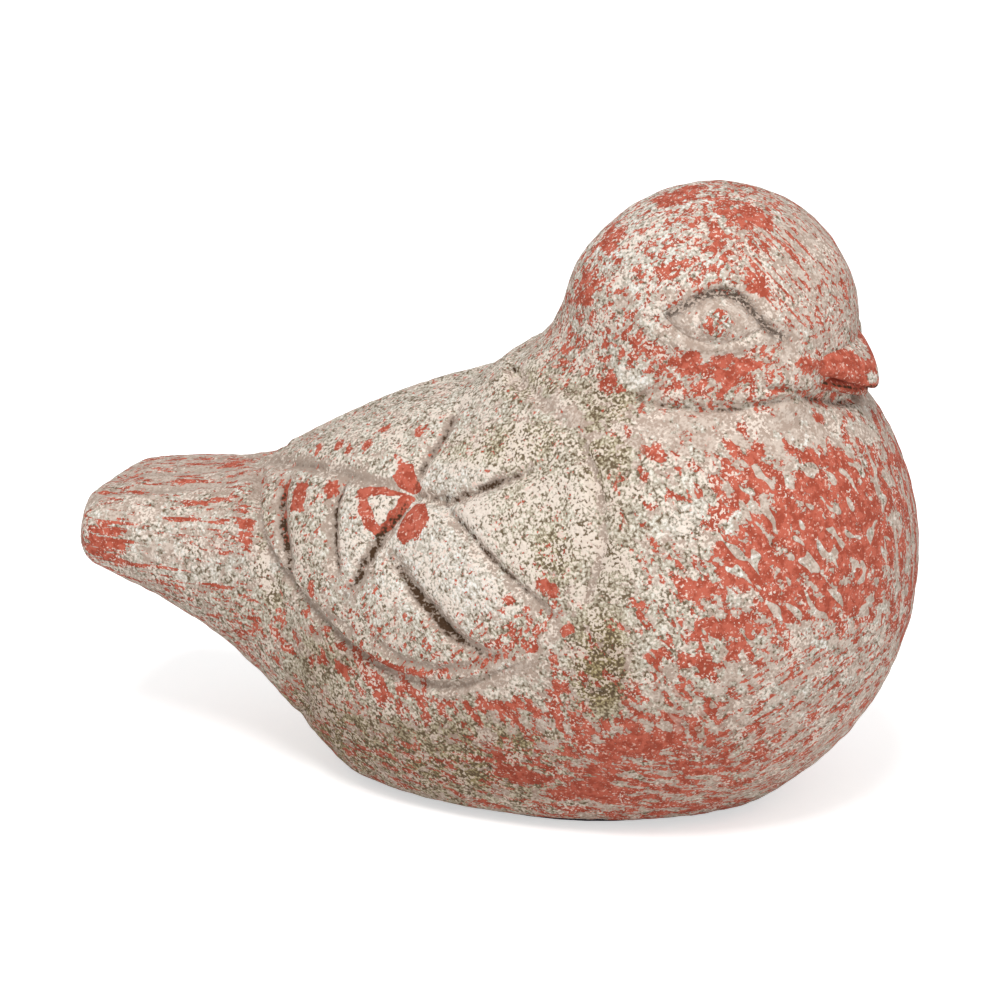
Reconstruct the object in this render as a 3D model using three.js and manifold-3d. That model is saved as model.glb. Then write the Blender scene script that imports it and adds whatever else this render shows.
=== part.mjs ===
// A bird ornament in fired clay. Its hollow body and head, its solid tail, wings, beak and eyes are made
// one by one and set on with slip. A plate closes the base, and a felt pad lies under it.
import * as THREE from "three";
import { mergeVertices } from "three/addons/utils/BufferGeometryUtils.js";
import Module from "manifold-3d";

const { clamp, degToRad: radians, lerp, smoothstep } = THREE.MathUtils;
const wasm = await Module();
wasm.setup();

// Sizes are in millimetres and angles in degrees. X points to the beak, Y to the bird's left and Z up.
// The ground is z = 0, and x = 0 lies under the middle of the overall length.

const gap = 0.3; // the slip or glue between two pieces
const wall = 9; // the shell of body and head
const facet = 8.4; // edge of a facet of the outer skin
const facetInside = 14; // edge of a facet of the hollow

// The big forms are eggs. Each has a centre (x, z), its half length, half width and half height, and
// the angle by which its front end is tilted up. The cheek has its twin at -y.
const breast = { x: 52, z: 62, length: 56.5, width: 58, height: 63, tilt: -4 };
const rump = { x: 6.5, z: 39, length: 60, width: 52, height: 55.5, tilt: -3 };
const back = { x: -8, z: 60.5, length: 44.5, width: 38, height: 34, tilt: 10 };
const nape = { x: 39.5, z: 95, length: 29.5, width: 28, height: 29, tilt: 0 };
const head = { x: 57.5, z: 124, length: 35, width: 34.5, height: 32.5, tilt: 0 };
const cheek = { x: 74.5, y: 18, z: 115, length: 14, width: 13, height: 10, tilt: 0 };

// How far one form runs softly into the next.
const soft = { rump: 31.5, back: 10.5, tail: 23.5, nape: 15.5, cheek: 4, neck: 9, base: 3.5 };
const softInside = { rump: 16, neck: 3, floor: 4 };

// The tail is a bar that narrows and thins from its root to its tip, with half width and half height.
// Its front end is buried in the rump.
const tailRoot = { x: -39.5, z: 48.5, width: 31, height: 29, buried: 8, round: 6 };
const tailTip = { x: -109, z: 57.5, width: 27, height: 10, round: 7.5 };
const tailSquareness = 2.4; // 2 gives an oval section, more gives a squarer one
const tailFan = 0.0045; // how far the tip falls back towards its corners, per mm squared

// The base: a plate with a vent closes an opening in the body's floor, and the felt laps over both.
const base = { x: 22, floor: 9 };
const opening = { length: 62, width: 46 };
const vent = { diameter: 14 };
const felt = { thickness: 1.2, lap: 10 };
const seat = felt.thickness + gap; // height of the flat underside of the body

// Two seams cut right through the bird: below the head, and ahead of the tail.
const neckSeam = { drop: 12.5, fall: 8 }; // below the middle of the head, falling to the front
const tailSeam = { x: -52.7, z: 70, lean: 18.3 }; // leans forward as it goes down

// The wing's feather lines meet at a place above the middle of the back. The slab of the wing lies in a
// bed and rises over the skin by edge at its rim and by middle further in, and by less at its front and
// at the spine. The blends say how far one height runs into the next.
const wing = { ahead: 0.8, above: 22.5, bed: 1.6 };
const wingHeight = { edge: 2, middle: 2.6, front: 0.5, spine: 1.5 };
const wingBlend = { edge: 14, frontFrom: 12, frontTo: 44, spine: 24 };
const fromSpine = 3;

// The wing in side view, from the place where the feather lines meet.
const wingOutline = [
  [-54, -5], [-48.5, -9.5], [-44, -15.5], [-38.5, -21.5], [-26.5, -30], [-14.5, -36.5],
  [-2.5, -41], [8, -42.3], [19, -41], [31, -36.3], [39.5, -31], [45, -21.5], [49.8, -9.5],
  [52, 5], [48, 14], [40, 20], [30, 23.5], [20, 25],
];
const wingAbove = [[4, 44], [-30, 40], [-62, 10]]; // over the back, outside the bird

// The feather lines: how wide the tool is, how deep it goes, and its way over the wing.
const featherLines = [
  { tool: 2.6, depth: 1.5, way: [[-50, -4.5], [-36, -0.9], [-25, 0.5], [-13, 0.6], [0.5, 0]] },
  { tool: 1.8, depth: 1.1, way: [[0, 0], [-0.2, 6.7], [3, 13.8], [6.5, 21]] },
  { tool: 2.2, depth: 1.7, way: [[2, 0], [9, 0.8], [18.7, 3.4], [25.4, 7.1], [34, 12]] },
  { tool: 2.4, depth: 1.9, way: [[0.5, 1], [-4.3, -8.5], [-7.5, -14.7], [-11, -21.2], [-16, -29.5]] },
  { tool: 2.2, depth: 2.1, way: [[-6, -11], [0, -16.5], [6.5, -20.8], [13, -26.2], [22, -32.5]] },
  { tool: 2, depth: 1.4, way: [[7, 0.5], [13.5, -4], [19, -7.6], [26.5, -12.4], [38, -20.5]] },
  { tool: 2.2, depth: 1.9, way: [[-38, -3], [-38.5, -9], [-37, -15], [-33.5, -22.5], [-26, -30]] },
  { tool: 2, depth: 1.7, way: [[-18.5, -1], [-20, -6.5], [-19, -13], [-16.5, -23]] },
  { tool: 1.9, depth: 1.2, way: [[-9, -29], [-0.6, -32.8], [7.8, -35.6], [18, -35.6], [30, -31.5]] },
];

// The lines along the top of the tail start behind its seam and end ahead of its tip. Each pair is how
// far a line lies from the middle at its start and at its end.
const tailLines = { start: 8, end: 6, tool: 2.4, depth: 0.9, beside: [[5, 7], [13, 19]] };

// A tool already touches the clay at both ends of its way and goes in steeply.
const toolEntry = { start: 0.12, steepness: 0.6 };

// The eye and its lids lie on the head at shares of its half length and half height.
const eye = { ahead: 0.3, up: 0.2, length: 23, height: 10.4, depth: 6.4, proud: 1.7, tilt: -7 };
const iris = { diameter: 9, proud: 0.7, flatness: 0.5 };
const upperLid = { tool: 2.1, depth: 1.5 };
const upperLidWay = [[-0.08, 0.22], [0.08, 0.35], [0.28, 0.4], [0.45, 0.34], [0.57, 0.2], [0.69, 0.06]];
const lowerLid = { coil: 1.9, proud: 0.9 };
const lowerLidWay = [[-0.22, 0.23], [-0.05, 0.13], [0.13, 0.05], [0.32, 0.02], [0.53, 0.06], [0.71, 0.08]];

// The beak is a wide wedge with an upper and a lower half. It reaches ahead of the head and drops below
// the head's middle, and behind its root some of the head's wall is left.
const beak = { left: 2, reach: 6.6, rootDrop: 5.5, tipDrop: 13, hook: 1.8, width: 21.5, tipWidth: 4 };
const upperHalf = { height: 4.6, tipHeight: 3.6, drop: 0, share: 1 };
const lowerHalf = { height: 2.6, tipHeight: 2.2, drop: 5, share: 0.8 };
const beakSection = { pinch: 0.3, blunt: 8, slack: 3 }; // slack: how much wider its socket is, in gaps

const colours = { clay: 0xb9715c, wash: 0xd9cfc0, beak: 0xc4553e, felt: 0x3a3936 };

const away = 400; // longer than the whole ornament

// Signed distances, negative inside a form.

function egg(x, y, z, form) {
  const turn = radians(form.tilt);
  const dx = x - form.x;
  const dz = z - form.z;
  const u = (dx * Math.cos(turn) + dz * Math.sin(turn)) / form.length;
  const v = (y - (form.y ?? 0)) / form.width;
  const w = (dz * Math.cos(turn) - dx * Math.sin(turn)) / form.height;
  const reach = Math.hypot(u, v, w);
  const slope = Math.hypot(u / form.length, v / form.width, w / form.height);
  return (reach * (reach - 1)) / Math.max(slope, 1e-6);
}

function join(a, b, width) {
  const share = clamp(0.5 + (b - a) / (2 * width), 0, 1);
  return b + (a - b) * share - width * share * (1 - share);
}

function trim(a, b, width) {
  return -join(-a, -b, width);
}

function tailBar(x, y, z) {
  const length = Math.hypot(tailTip.x - tailRoot.x, tailTip.z - tailRoot.z);
  const ux = (tailTip.x - tailRoot.x) / length;
  const uz = (tailTip.z - tailRoot.z) / length;
  const along = (x - tailRoot.x) * ux + (z - tailRoot.z) * uz;
  const across = (z - tailRoot.z) * ux - (x - tailRoot.x) * uz;
  const share = Math.min(along / length, 1);
  const width = lerp(tailRoot.width, tailTip.width, share);
  const height = lerp(tailRoot.height, tailTip.height, share);
  const power = tailSquareness;
  const section = (Math.abs(y / width) ** power + Math.abs(across / height) ** power) ** (1 / power);
  const side = (section - 1) * Math.min(width, height);
  const end = along - length + tailFan * y * y;
  return trim(trim(side, end, tailTip.round), -along - tailRoot.buried, tailRoot.round);
}

function skin(x, y, z) {
  let bird = join(egg(x, y, z, breast), egg(x, y, z, rump), soft.rump);
  bird = join(bird, egg(x, y, z, back), soft.back);
  bird = join(bird, tailBar(x, y, z), soft.tail);
  bird = join(bird, egg(x, y, z, nape), soft.nape);
  const face = join(egg(x, y, z, head), egg(x, Math.abs(y), z, cheek), soft.cheek);
  return trim(join(bird, face, soft.neck), seat - z, soft.base);
}

function thinner(form) {
  return { ...form, length: form.length - wall, width: form.width - wall, height: form.height - wall };
}

function hollow(x, y, z) {
  let room = join(egg(x, y, z, thinner(breast)), egg(x, y, z, thinner(rump)), softInside.rump);
  room = join(room, egg(x, y, z, thinner(head)), softInside.neck);
  return trim(room, seat + base.floor - z, softInside.floor);
}

function slopeAt(field, x, y, z) {
  const h = 0.01;
  return new THREE.Vector3(
    field(x + h, y, z) - field(x - h, y, z),
    field(x, y + h, z) - field(x, y - h, z),
    field(x, y, z + h) - field(x, y, z - h),
  ).divideScalar(2 * h);
}

const outward = (p) => slopeAt(skin, p.x, p.y, p.z).normalize();

// The low and the high corner of a box of whole cells round the bird, with a spare cell on each side.
function boxAround(cell) {
  const most = (size) => Math.max(...[breast, rump, back, nape, head].map(size));
  const side = cell * Math.ceil(most((form) => form.width) / cell + 2);
  const front = most((form) => form.x + form.length) + 2 * cell;
  const top = most((form) => form.z + form.height) + 2 * cell;
  return [[tailTip.x - 2 * cell, -side, -cell], [front, side, top]];
}

// A closed net of four-sided facets over the zero surface of a field. One point lies in each cell of
// the grid that the surface passes through, and is then settled on the surface itself.
function surfaceNet(field, cell) {
  const [low, high] = boxAround(cell);
  const [nx, ny, nz] = [0, 1, 2].map((i) => Math.ceil((high[i] - low[i]) / cell) + 1);
  const at = (i, j, k) => (k * ny + j) * nx + i;
  const value = new Float64Array(nx * ny * nz);
  for (let k = 0; k < nz; k++)
    for (let j = 0; j < ny; j++)
      for (let i = 0; i < nx; i++)
        value[at(i, j, k)] = field(low[0] + i * cell, low[1] + j * cell, low[2] + k * cell);

  const corners = [0, 1, 2, 3, 4, 5, 6, 7].map((c) => [c & 1, (c >> 1) & 1, c >> 2]);
  const edges = [];
  for (let c = 0; c < 8; c++)
    for (const bit of [1, 2, 4])
      if (!(c & bit)) edges.push([corners[c], corners[c | bit]]);

  const points = [];
  const pointOf = new Int32Array(value.length).fill(-1);
  for (let k = 0; k < nz - 1; k++)
    for (let j = 0; j < ny - 1; j++)
      for (let i = 0; i < nx - 1; i++) {
        const sum = new THREE.Vector3();
        let crossings = 0;
        for (const [a, b] of edges) {
          const atA = value[at(i + a[0], j + a[1], k + a[2])];
          const atB = value[at(i + b[0], j + b[1], k + b[2])];
          if (atA < 0 === atB < 0) continue;
          sum.add(new THREE.Vector3(...a).lerp(new THREE.Vector3(...b), atA / (atA - atB)));
          crossings++;
        }
        if (crossings === 0) continue;
        const p = sum.divideScalar(crossings).add(new THREE.Vector3(i, j, k));
        p.multiplyScalar(cell).add(new THREE.Vector3(...low));
        for (let step = 0; step < 4; step++) {
          const slope = slopeAt(field, p.x, p.y, p.z);
          p.addScaledVector(slope, -field(p.x, p.y, p.z) / slope.lengthSq());
        }
        pointOf[at(i, j, k)] = points.length;
        points.push(p);
      }

  const triangles = [];
  const steps = [[1, 0, 0], [0, 1, 0], [0, 0, 1]];
  for (let k = 1; k < nz - 1; k++)
    for (let j = 1; j < ny - 1; j++)
      for (let i = 1; i < nx - 1; i++)
        for (let axis = 0; axis < 3; axis++) {
          const [s, b, c] = [0, 1, 2].map((turn) => steps[(axis + turn) % 3]);
          const inside = value[at(i, j, k)] < 0;
          if (inside === value[at(i + s[0], j + s[1], k + s[2])] < 0) continue;
          const ring = [[1, 1], [0, 1], [0, 0], [1, 0]].map(([m, n]) =>
            pointOf[at(i - m * b[0] - n * c[0], j - m * b[1] - n * c[1], k - m * b[2] - n * c[2])]);
          if (!inside) ring.reverse();
          const [p, q, r, t] = ring;
          const shortWay = points[p].distanceTo(points[r]) < points[q].distanceTo(points[t]);
          if (shortWay) triangles.push(p, q, r, p, r, t);
          else triangles.push(p, q, t, q, r, t);
        }
  return { points, triangles };
}

function solidOfTriangles(positions, triangles) {
  const mesh = new wasm.Mesh({
    numProp: 3,
    vertProperties: new Float32Array(positions),
    triVerts: new Uint32Array(triangles),
  });
  return new wasm.Manifold(mesh);
}

function solidOfNet(net) {
  return solidOfTriangles(net.points.flatMap((p) => p.toArray()), net.triangles);
}

// The same net with each point moved away from the skin by what rise gives for it.
function raised(net, rise) {
  const points = net.points.map((p) => p.clone().addScaledVector(outward(p), rise(p)));
  return { points, triangles: net.triangles };
}

function solidOfGeometry(geometry) {
  const bare = new THREE.BufferGeometry();
  bare.setAttribute("position", geometry.getAttribute("position"));
  if (geometry.index) bare.setIndex(geometry.index);
  const merged = mergeVertices(bare, 1e-4);
  return solidOfTriangles(merged.getAttribute("position").array, merged.index.array);
}

// Everything on one side of a plane that stands square to the side view, as seen from (x, z) in the
// direction that lies so many degrees above +X.
function sideOfPlane(x, z, direction) {
  const box = new THREE.BoxGeometry(away, away, away);
  box.translate(away / 2, 0, 0).rotateY(-radians(direction)).translate(x, 0, z);
  return solidOfGeometry(box);
}

function ovalPlate(length, width, bottom, top) {
  const oval = new THREE.Shape().absellipse(base.x, 0, length / 2, width / 2, 0, 2 * Math.PI);
  const depth = top - bottom;
  const plate = new THREE.ExtrudeGeometry(oval, { depth, bevelEnabled: false, curveSegments: 18 });
  return solidOfGeometry(plate.translate(0, 0, bottom));
}

// A round rod bent along a way of points in space.
function rod(way, radius) {
  const circle = new THREE.Shape().absarc(0, 0, radius, 0, 2 * Math.PI);
  const bent = new THREE.ExtrudeGeometry(circle, {
    steps: 2 * (way.length - 1),
    curveSegments: 4,
    extrudePath: new THREE.CatmullRomCurve3(way),
  });
  return solidOfGeometry(bent);
}

// A solid through rings of points, closed at both ends.
function loft(rings) {
  const sides = rings[0].length;
  const positions = rings.flat();
  const triangles = [];
  for (let r = 0; r < rings.length - 1; r++)
    for (let s = 0; s < sides; s++) {
      const [a, b] = [r * sides + s, r * sides + ((s + 1) % sides)];
      triangles.push(a, b, a + sides, b, b + sides, a + sides);
    }
  for (let s = 1; s < sides - 1; s++) {
    const last = positions.length - sides;
    triangles.push(0, s + 1, s, last, last + s, last + s + 1);
  }
  return solidOfTriangles(positions.flatMap((p) => p.toArray()), triangles);
}

// How far out, from a start inside, the skin lies, or the surface that is raised over it by rise.
function reachOf(pointAt, start, rise) {
  let [inner, outer] = [start, away / 2];
  for (let step = 0; step < 40; step++) {
    const middle = (inner + outer) / 2;
    const p = pointAt(middle);
    if (skin(p.x, p.y, p.z) < rise) inner = middle;
    else outer = middle;
  }
  return pointAt(inner);
}

// The point at (x, z) in side view, rise mm above the skin, on the side given by -1 or 1. There is none
// where the side view misses the bird.
function onSkin(x, z, side, rise = 0) {
  if (skin(x, 0, z) > rise) return null;
  return reachOf((y) => new THREE.Vector3(x, side * y, z), 0, rise);
}

function onTailTop(x, y) {
  return reachOf((z) => new THREE.Vector3(x, y, z), tailTip.z, 0);
}

// A tool that follows points of the skin. It dips to its depth in the middle of its way and comes out
// of the clay at both ends.
function toolAlong(points, radius, depth) {
  const { start, steepness } = toolEntry;
  const last = points.length - 1;
  const way = points.map((p, i) => {
    const share = (i + start) / (last + 2 * start);
    const dip = depth * Math.sin(Math.PI * share) ** steepness;
    return p.clone().addScaledVector(outward(p), radius - dip);
  });
  return rod(way, radius);
}

const wingX = back.x + wing.ahead;
const wingZ = back.z + wing.above;

// Points of the side view about evenly spaced along a smooth line through the given ones of the wing.
function spaced(way, spacing) {
  const curve = new THREE.SplineCurve(way.map(([x, z]) => new THREE.Vector2(wingX + x, wingZ + z)));
  return curve.getSpacedPoints(Math.max(3, Math.round(curve.getLength() / spacing)));
}

const rim = spaced(wingOutline, 6);
const overBack = wingAbove.map(([x, z]) => new THREE.Vector2(wingX + x, wingZ + z));

function distanceToRim(x, z) {
  const p = new THREE.Vector3(x, z, 0);
  let nearest = away;
  for (let i = 1; i < rim.length; i++) {
    const [a, b] = [rim[i - 1], rim[i]].map((end) => new THREE.Vector3(end.x, end.y, 0));
    const foot = new THREE.Line3(a, b).closestPointToPoint(p, true, new THREE.Vector3());
    nearest = Math.min(nearest, foot.distanceTo(p));
  }
  return nearest;
}

function wingRise(p) {
  const inward = smoothstep(distanceToRim(p.x, p.z), 0, wingBlend.edge);
  const sideways = smoothstep(Math.abs(p.y), fromSpine, wingBlend.spine);
  const forward = smoothstep(p.x - wingX, wingBlend.frontFrom, wingBlend.frontTo);
  const side = lerp(wingHeight.edge, wingHeight.middle, inward);
  return lerp(lerp(wingHeight.spine, side, sideways), wingHeight.front, forward);
}

// The outline of a wing carried sideways through the bird, from its spine out to one side.
function wingPrism(side, wider) {
  const centre = new THREE.Vector2(wingX, wingZ);
  const grown = [...rim, ...overBack].map((p) => {
    const out = p.clone().sub(centre).normalize();
    return p.clone().addScaledVector(out, wider);
  });
  const depth = away / 4;
  const prism = new THREE.ExtrudeGeometry(new THREE.Shape(grown), { depth, bevelEnabled: false });
  const inner = fromSpine - wider;
  prism.rotateX(Math.PI / 2).translate(0, side > 0 ? inner + depth : -inner, 0);
  return solidOfGeometry(prism);
}

const neckZ = head.z - neckSeam.drop;
const headSide = 90 - neckSeam.fall;
const tailSide = 180 + tailSeam.lean;
const aboveNeck = sideOfPlane(head.x, neckZ + gap / 2, headSide);
const belowNeck = sideOfPlane(head.x, neckZ - gap / 2, headSide + 180);
const behindSeam = sideOfPlane(tailSeam.x - gap / 2, tailSeam.z, tailSide);
const aheadOfSeam = sideOfPlane(tailSeam.x + gap / 2, tailSeam.z, tailSide + 180);
const wallAtSeam = gap / 2 + wall / Math.cos(radians(tailSeam.lean));
const aheadOfWall = sideOfPlane(tailSeam.x + wallAtSeam, tailSeam.z, tailSide + 180);

const skinNet = surfaceNet(skin, facet);
const whole = solidOfNet(skinNet);
const room = solidOfNet(surfaceNet(hollow, facetInside)).intersect(aheadOfWall);
const shell = whole.subtract(room);

const bedFloor = solidOfNet(raised(skinNet, () => -wing.bed - gap));
const bedRight = wingPrism(-1, gap).subtract(bedFloor);
const bedLeft = wingPrism(1, gap).subtract(bedFloor);

const plateTop = seat + base.floor;
const rimOfOpening = ovalPlate(opening.length + 2 * gap, opening.width + 2 * gap, 0, plateTop + gap);
const body = shell
  .intersect(belowNeck)
  .intersect(aheadOfSeam)
  .subtract(bedRight)
  .subtract(bedLeft)
  .subtract(rimOfOpening);

let tail = whole.intersect(behindSeam).subtract(bedRight).subtract(bedLeft);
for (const side of [-1, 1])
  for (const [atStart, atEnd] of tailLines.beside) {
    const way = [0, 0.2, 0.4, 0.6, 0.8, 1].map((share) => {
      const x = lerp(tailSeam.x - tailLines.start, tailTip.x + tailLines.end, share);
      return onTailTop(x, side * lerp(atStart, atEnd, share));
    });
    tail = tail.subtract(toolAlong(way, tailLines.tool, tailLines.depth));
  }

const wingBack = solidOfNet(raised(skinNet, () => -wing.bed));
const wingFace = solidOfNet(raised(skinNet, wingRise));
const wingSlab = wingFace.subtract(wingBack).intersect(belowNeck);

function makeWing(side) {
  let slab = wingSlab.intersect(wingPrism(side, 0));
  for (const line of featherLines) {
    const way = [];
    for (const p of spaced(line.way, 8)) {
      const foot = onSkin(p.x, p.y, side);
      if (foot) way.push(foot.addScaledVector(outward(foot), wingRise(foot)));
    }
    slab = slab.subtract(toolAlong(way, line.tool, line.depth));
  }
  return slab;
}

// Points of the head's skin, from shares of its half length and half height.
function onHead(way, side) {
  return way
    .map(([ahead, up]) => onSkin(head.x + ahead * head.length, head.z + up * head.height, side))
    .filter((p) => p);
}

// An almond: a bar of oval section that comes to a point at both ends, laid on the side of the head.
function almond(side, wider) {
  const [centre] = onHead([[eye.ahead, eye.up]], side);
  const out = outward(centre);
  const forward = new THREE.Vector3(Math.cos(radians(eye.tilt)), 0, Math.sin(radians(eye.tilt)));
  forward.addScaledVector(out, -forward.dot(out)).normalize();
  const up = new THREE.Vector3().crossVectors(out, forward).multiplyScalar(-side);
  const deep = eye.depth / 2;
  const middle = centre.clone().addScaledVector(out, eye.proud - deep);
  const [steps, sides] = [8, 12];
  const rings = [];
  for (let r = 0; r <= steps; r++) {
    const along = (2 * r) / steps - 1;
    const swell = Math.max(0.02, 1 - along * along);
    const ring = [];
    for (let s = 0; s < sides; s++) {
      const turn = (-side * 2 * Math.PI * s) / sides;
      const p = middle.clone().addScaledVector(forward, along * (eye.length / 2 + wider));
      p.addScaledVector(up, Math.cos(turn) * (swell * eye.height / 2 + wider));
      p.addScaledVector(out, Math.sin(turn) * (swell * deep + wider));
      ring.push(p);
    }
    rings.push(ring);
  }
  return { solid: loft(rings), centre, out };
}

function makeEye(side) {
  const { solid, centre, out } = almond(side, 0);
  const radius = iris.diameter / 2;
  const spot = new THREE.SphereGeometry(radius, 12, 6).scale(1, 1, iris.flatness);
  spot.applyQuaternion(new THREE.Quaternion().setFromUnitVectors(new THREE.Vector3(0, 0, 1), out));
  const lift = eye.proud + iris.proud - radius * iris.flatness;
  const place = centre.clone().addScaledVector(out, lift);
  spot.translate(place.x, place.y, place.z);
  return solid.add(solidOfGeometry(spot));
}

// One half of the beak, which grows by wider on all sides when it is the cut for its socket.
function beakHalf(half, wider) {
  const root = head.length - wall + beak.left;
  const length = (wall - beak.left + beak.reach) * half.share;
  const [steps, sides] = [8, 16];
  const rings = [];
  for (let r = 0; r <= steps; r++) {
    const t = r / steps;
    const blunt = Math.sqrt(Math.max(0.01, 1 - t ** beakSection.blunt));
    const across = lerp(beak.width, beak.tipWidth, t) * blunt + beakSection.slack * wider;
    const tall = lerp(half.height, half.tipHeight, t) * blunt + wider;
    const x = head.x + root + length * t + wider * (2 * t - 1);
    const fall = lerp(beak.rootDrop, beak.tipDrop, (t * half.share) ** beak.hook);
    const z = head.z - fall - half.drop;
    const ring = [];
    for (let s = 0; s < sides; s++) {
      const turn = (2 * Math.PI * s) / sides;
      const lens = 1 - beakSection.pinch * Math.abs(Math.cos(turn));
      ring.push(new THREE.Vector3(x, Math.cos(turn) * across, z + Math.sin(turn) * tall * lens));
    }
    rings.push(ring);
  }
  return loft(rings);
}

const makeBeak = (wider) => beakHalf(upperHalf, wider).add(beakHalf(lowerHalf, wider));

let skull = shell.intersect(aboveNeck);
for (const side of [-1, 1]) {
  const sunk = lowerLid.proud - lowerLid.coil;
  const coil = onHead(lowerLidWay, side).map((p) => p.clone().addScaledVector(outward(p), sunk));
  skull = skull.add(rod(coil, lowerLid.coil));
  skull = skull.subtract(toolAlong(onHead(upperLidWay, side), upperLid.tool, upperLid.depth));
  skull = skull.subtract(almond(side, gap).solid);
}
skull = skull.subtract(makeBeak(gap));

const ventHole = ovalPlate(vent.diameter, vent.diameter, -gap, plateTop + gap);
const plate = ovalPlate(opening.length, opening.width, seat, plateTop).subtract(ventHole);
const lap = 2 * felt.lap;
const pad = ovalPlate(opening.length + lap, opening.width + lap, 0, felt.thickness).subtract(ventHole);

function named(name, solid, colour) {
  const { vertProperties, triVerts } = solid.getMesh();
  const geometry = new THREE.BufferGeometry();
  geometry.setAttribute("position", new THREE.BufferAttribute(vertProperties, 3));
  geometry.setIndex(new THREE.BufferAttribute(triVerts, 1));
  geometry.computeVertexNormals();
  const material = new THREE.MeshStandardMaterial({ color: colour, roughness: 0.95 });
  material.name = name;
  const mesh = new THREE.Mesh(geometry, material);
  mesh.name = name;
  return mesh;
}

const bird = new THREE.Group();
bird.name = "bird_statue";
bird.add(named("body", body, colours.clay));
bird.add(named("head", skull, colours.clay));
bird.add(named("tail", tail, colours.clay));
bird.add(named("wing_right", makeWing(-1), colours.wash));
bird.add(named("wing_left", makeWing(1), colours.wash));
bird.add(named("beak", makeBeak(0), colours.beak));
bird.add(named("eye_right", makeEye(-1), colours.wash));
bird.add(named("eye_left", makeEye(1), colours.wash));
bird.add(named("base_plate", plate, colours.clay));
bird.add(named("felt", pad, colours.felt));

export default bird;
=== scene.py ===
import math
from functools import partial

import bpy
import numpy as np
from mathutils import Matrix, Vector


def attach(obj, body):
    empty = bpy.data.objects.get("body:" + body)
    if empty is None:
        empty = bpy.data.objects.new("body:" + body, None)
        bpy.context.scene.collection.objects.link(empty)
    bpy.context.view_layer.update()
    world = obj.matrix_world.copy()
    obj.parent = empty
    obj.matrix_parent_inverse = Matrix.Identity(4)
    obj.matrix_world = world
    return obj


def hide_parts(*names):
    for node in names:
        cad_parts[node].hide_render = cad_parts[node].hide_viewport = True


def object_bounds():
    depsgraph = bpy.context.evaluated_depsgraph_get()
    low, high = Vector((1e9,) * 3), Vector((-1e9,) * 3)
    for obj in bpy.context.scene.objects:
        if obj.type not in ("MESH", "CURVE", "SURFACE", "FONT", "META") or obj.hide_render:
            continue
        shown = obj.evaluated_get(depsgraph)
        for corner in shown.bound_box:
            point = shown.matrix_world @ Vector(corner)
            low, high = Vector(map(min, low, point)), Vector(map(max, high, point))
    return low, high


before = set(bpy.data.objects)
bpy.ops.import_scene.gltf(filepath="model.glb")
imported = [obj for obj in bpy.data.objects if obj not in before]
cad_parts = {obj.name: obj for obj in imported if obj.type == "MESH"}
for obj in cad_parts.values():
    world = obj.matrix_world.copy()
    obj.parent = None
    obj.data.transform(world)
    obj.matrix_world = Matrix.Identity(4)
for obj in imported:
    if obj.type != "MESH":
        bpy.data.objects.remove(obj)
cad_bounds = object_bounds()

# Sizes are in millimetres, as in the CAD part, and meshes are made in metres.
MM = 0.001

# The forms of the bird, as in the CAD part: their middle, half sizes and tilt in degrees.
breast = dict(x=52, z=62, length=56.5, width=58, height=63, tilt=-4)
rump = dict(x=6.5, z=39, length=60, width=52, height=55.5, tilt=-3)
back = dict(x=-8, z=60.5, length=44.5, width=38, height=34, tilt=10)
nape = dict(x=39.5, z=95, length=29.5, width=28, height=29, tilt=0)
head = dict(x=57.5, z=124, length=35, width=34.5, height=32.5, tilt=0)
cheek = dict(x=74.5, y=18, z=115, length=14, width=13, height=10, tilt=0)
# How softly each runs into the rest, and how round the edge of the resting face is.
soft = dict(rump=31.5, back=10.5, tail=23.5, nape=15.5, cheek=4, neck=9, base=3.5)

tail_root = dict(x=-39.5, z=48.5, width=31, height=29, buried=8, round=6)
tail_tip = dict(x=-109, z=57.5, width=27, height=10, round=7.5)
TAIL_SQUARENESS = 2.4
TAIL_FAN = 0.0045

# How high the clay begins, over the felt, where head and tail end, and how far the skin turns in there.
SEAT = 1.5
neck_seam = dict(drop=12.5, fall=8)
tail_seam = dict(x=-52.7, z=70, lean=18.3)
SEAM_WALL = 5

# The wings: where their outline is drawn from, how deep they sit, how far from the middle of the back
# they end, and how high they stand at each place.
WING_X = back["x"] + 0.8
WING_Z = back["z"] + 22.5
WING_BED = 1.6
FROM_SPINE = 3
wing_height = dict(edge=2, middle=2.6, front=0.5, spine=1.5)
WING_OUTLINE = [
    [-54, -5], [-48.5, -9.5], [-44, -15.5], [-38.5, -21.5], [-26.5, -30], [-14.5, -36.5],
    [-2.5, -41], [8, -42.3], [19, -41], [31, -36.3], [39.5, -31], [45, -21.5], [49.8, -9.5],
    [52, 5], [48, 14], [40, 20], [30, 23.5], [20, 25],
]
WING_ABOVE = [[4, 44], [-30, 40], [-62, 10]]

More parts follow.
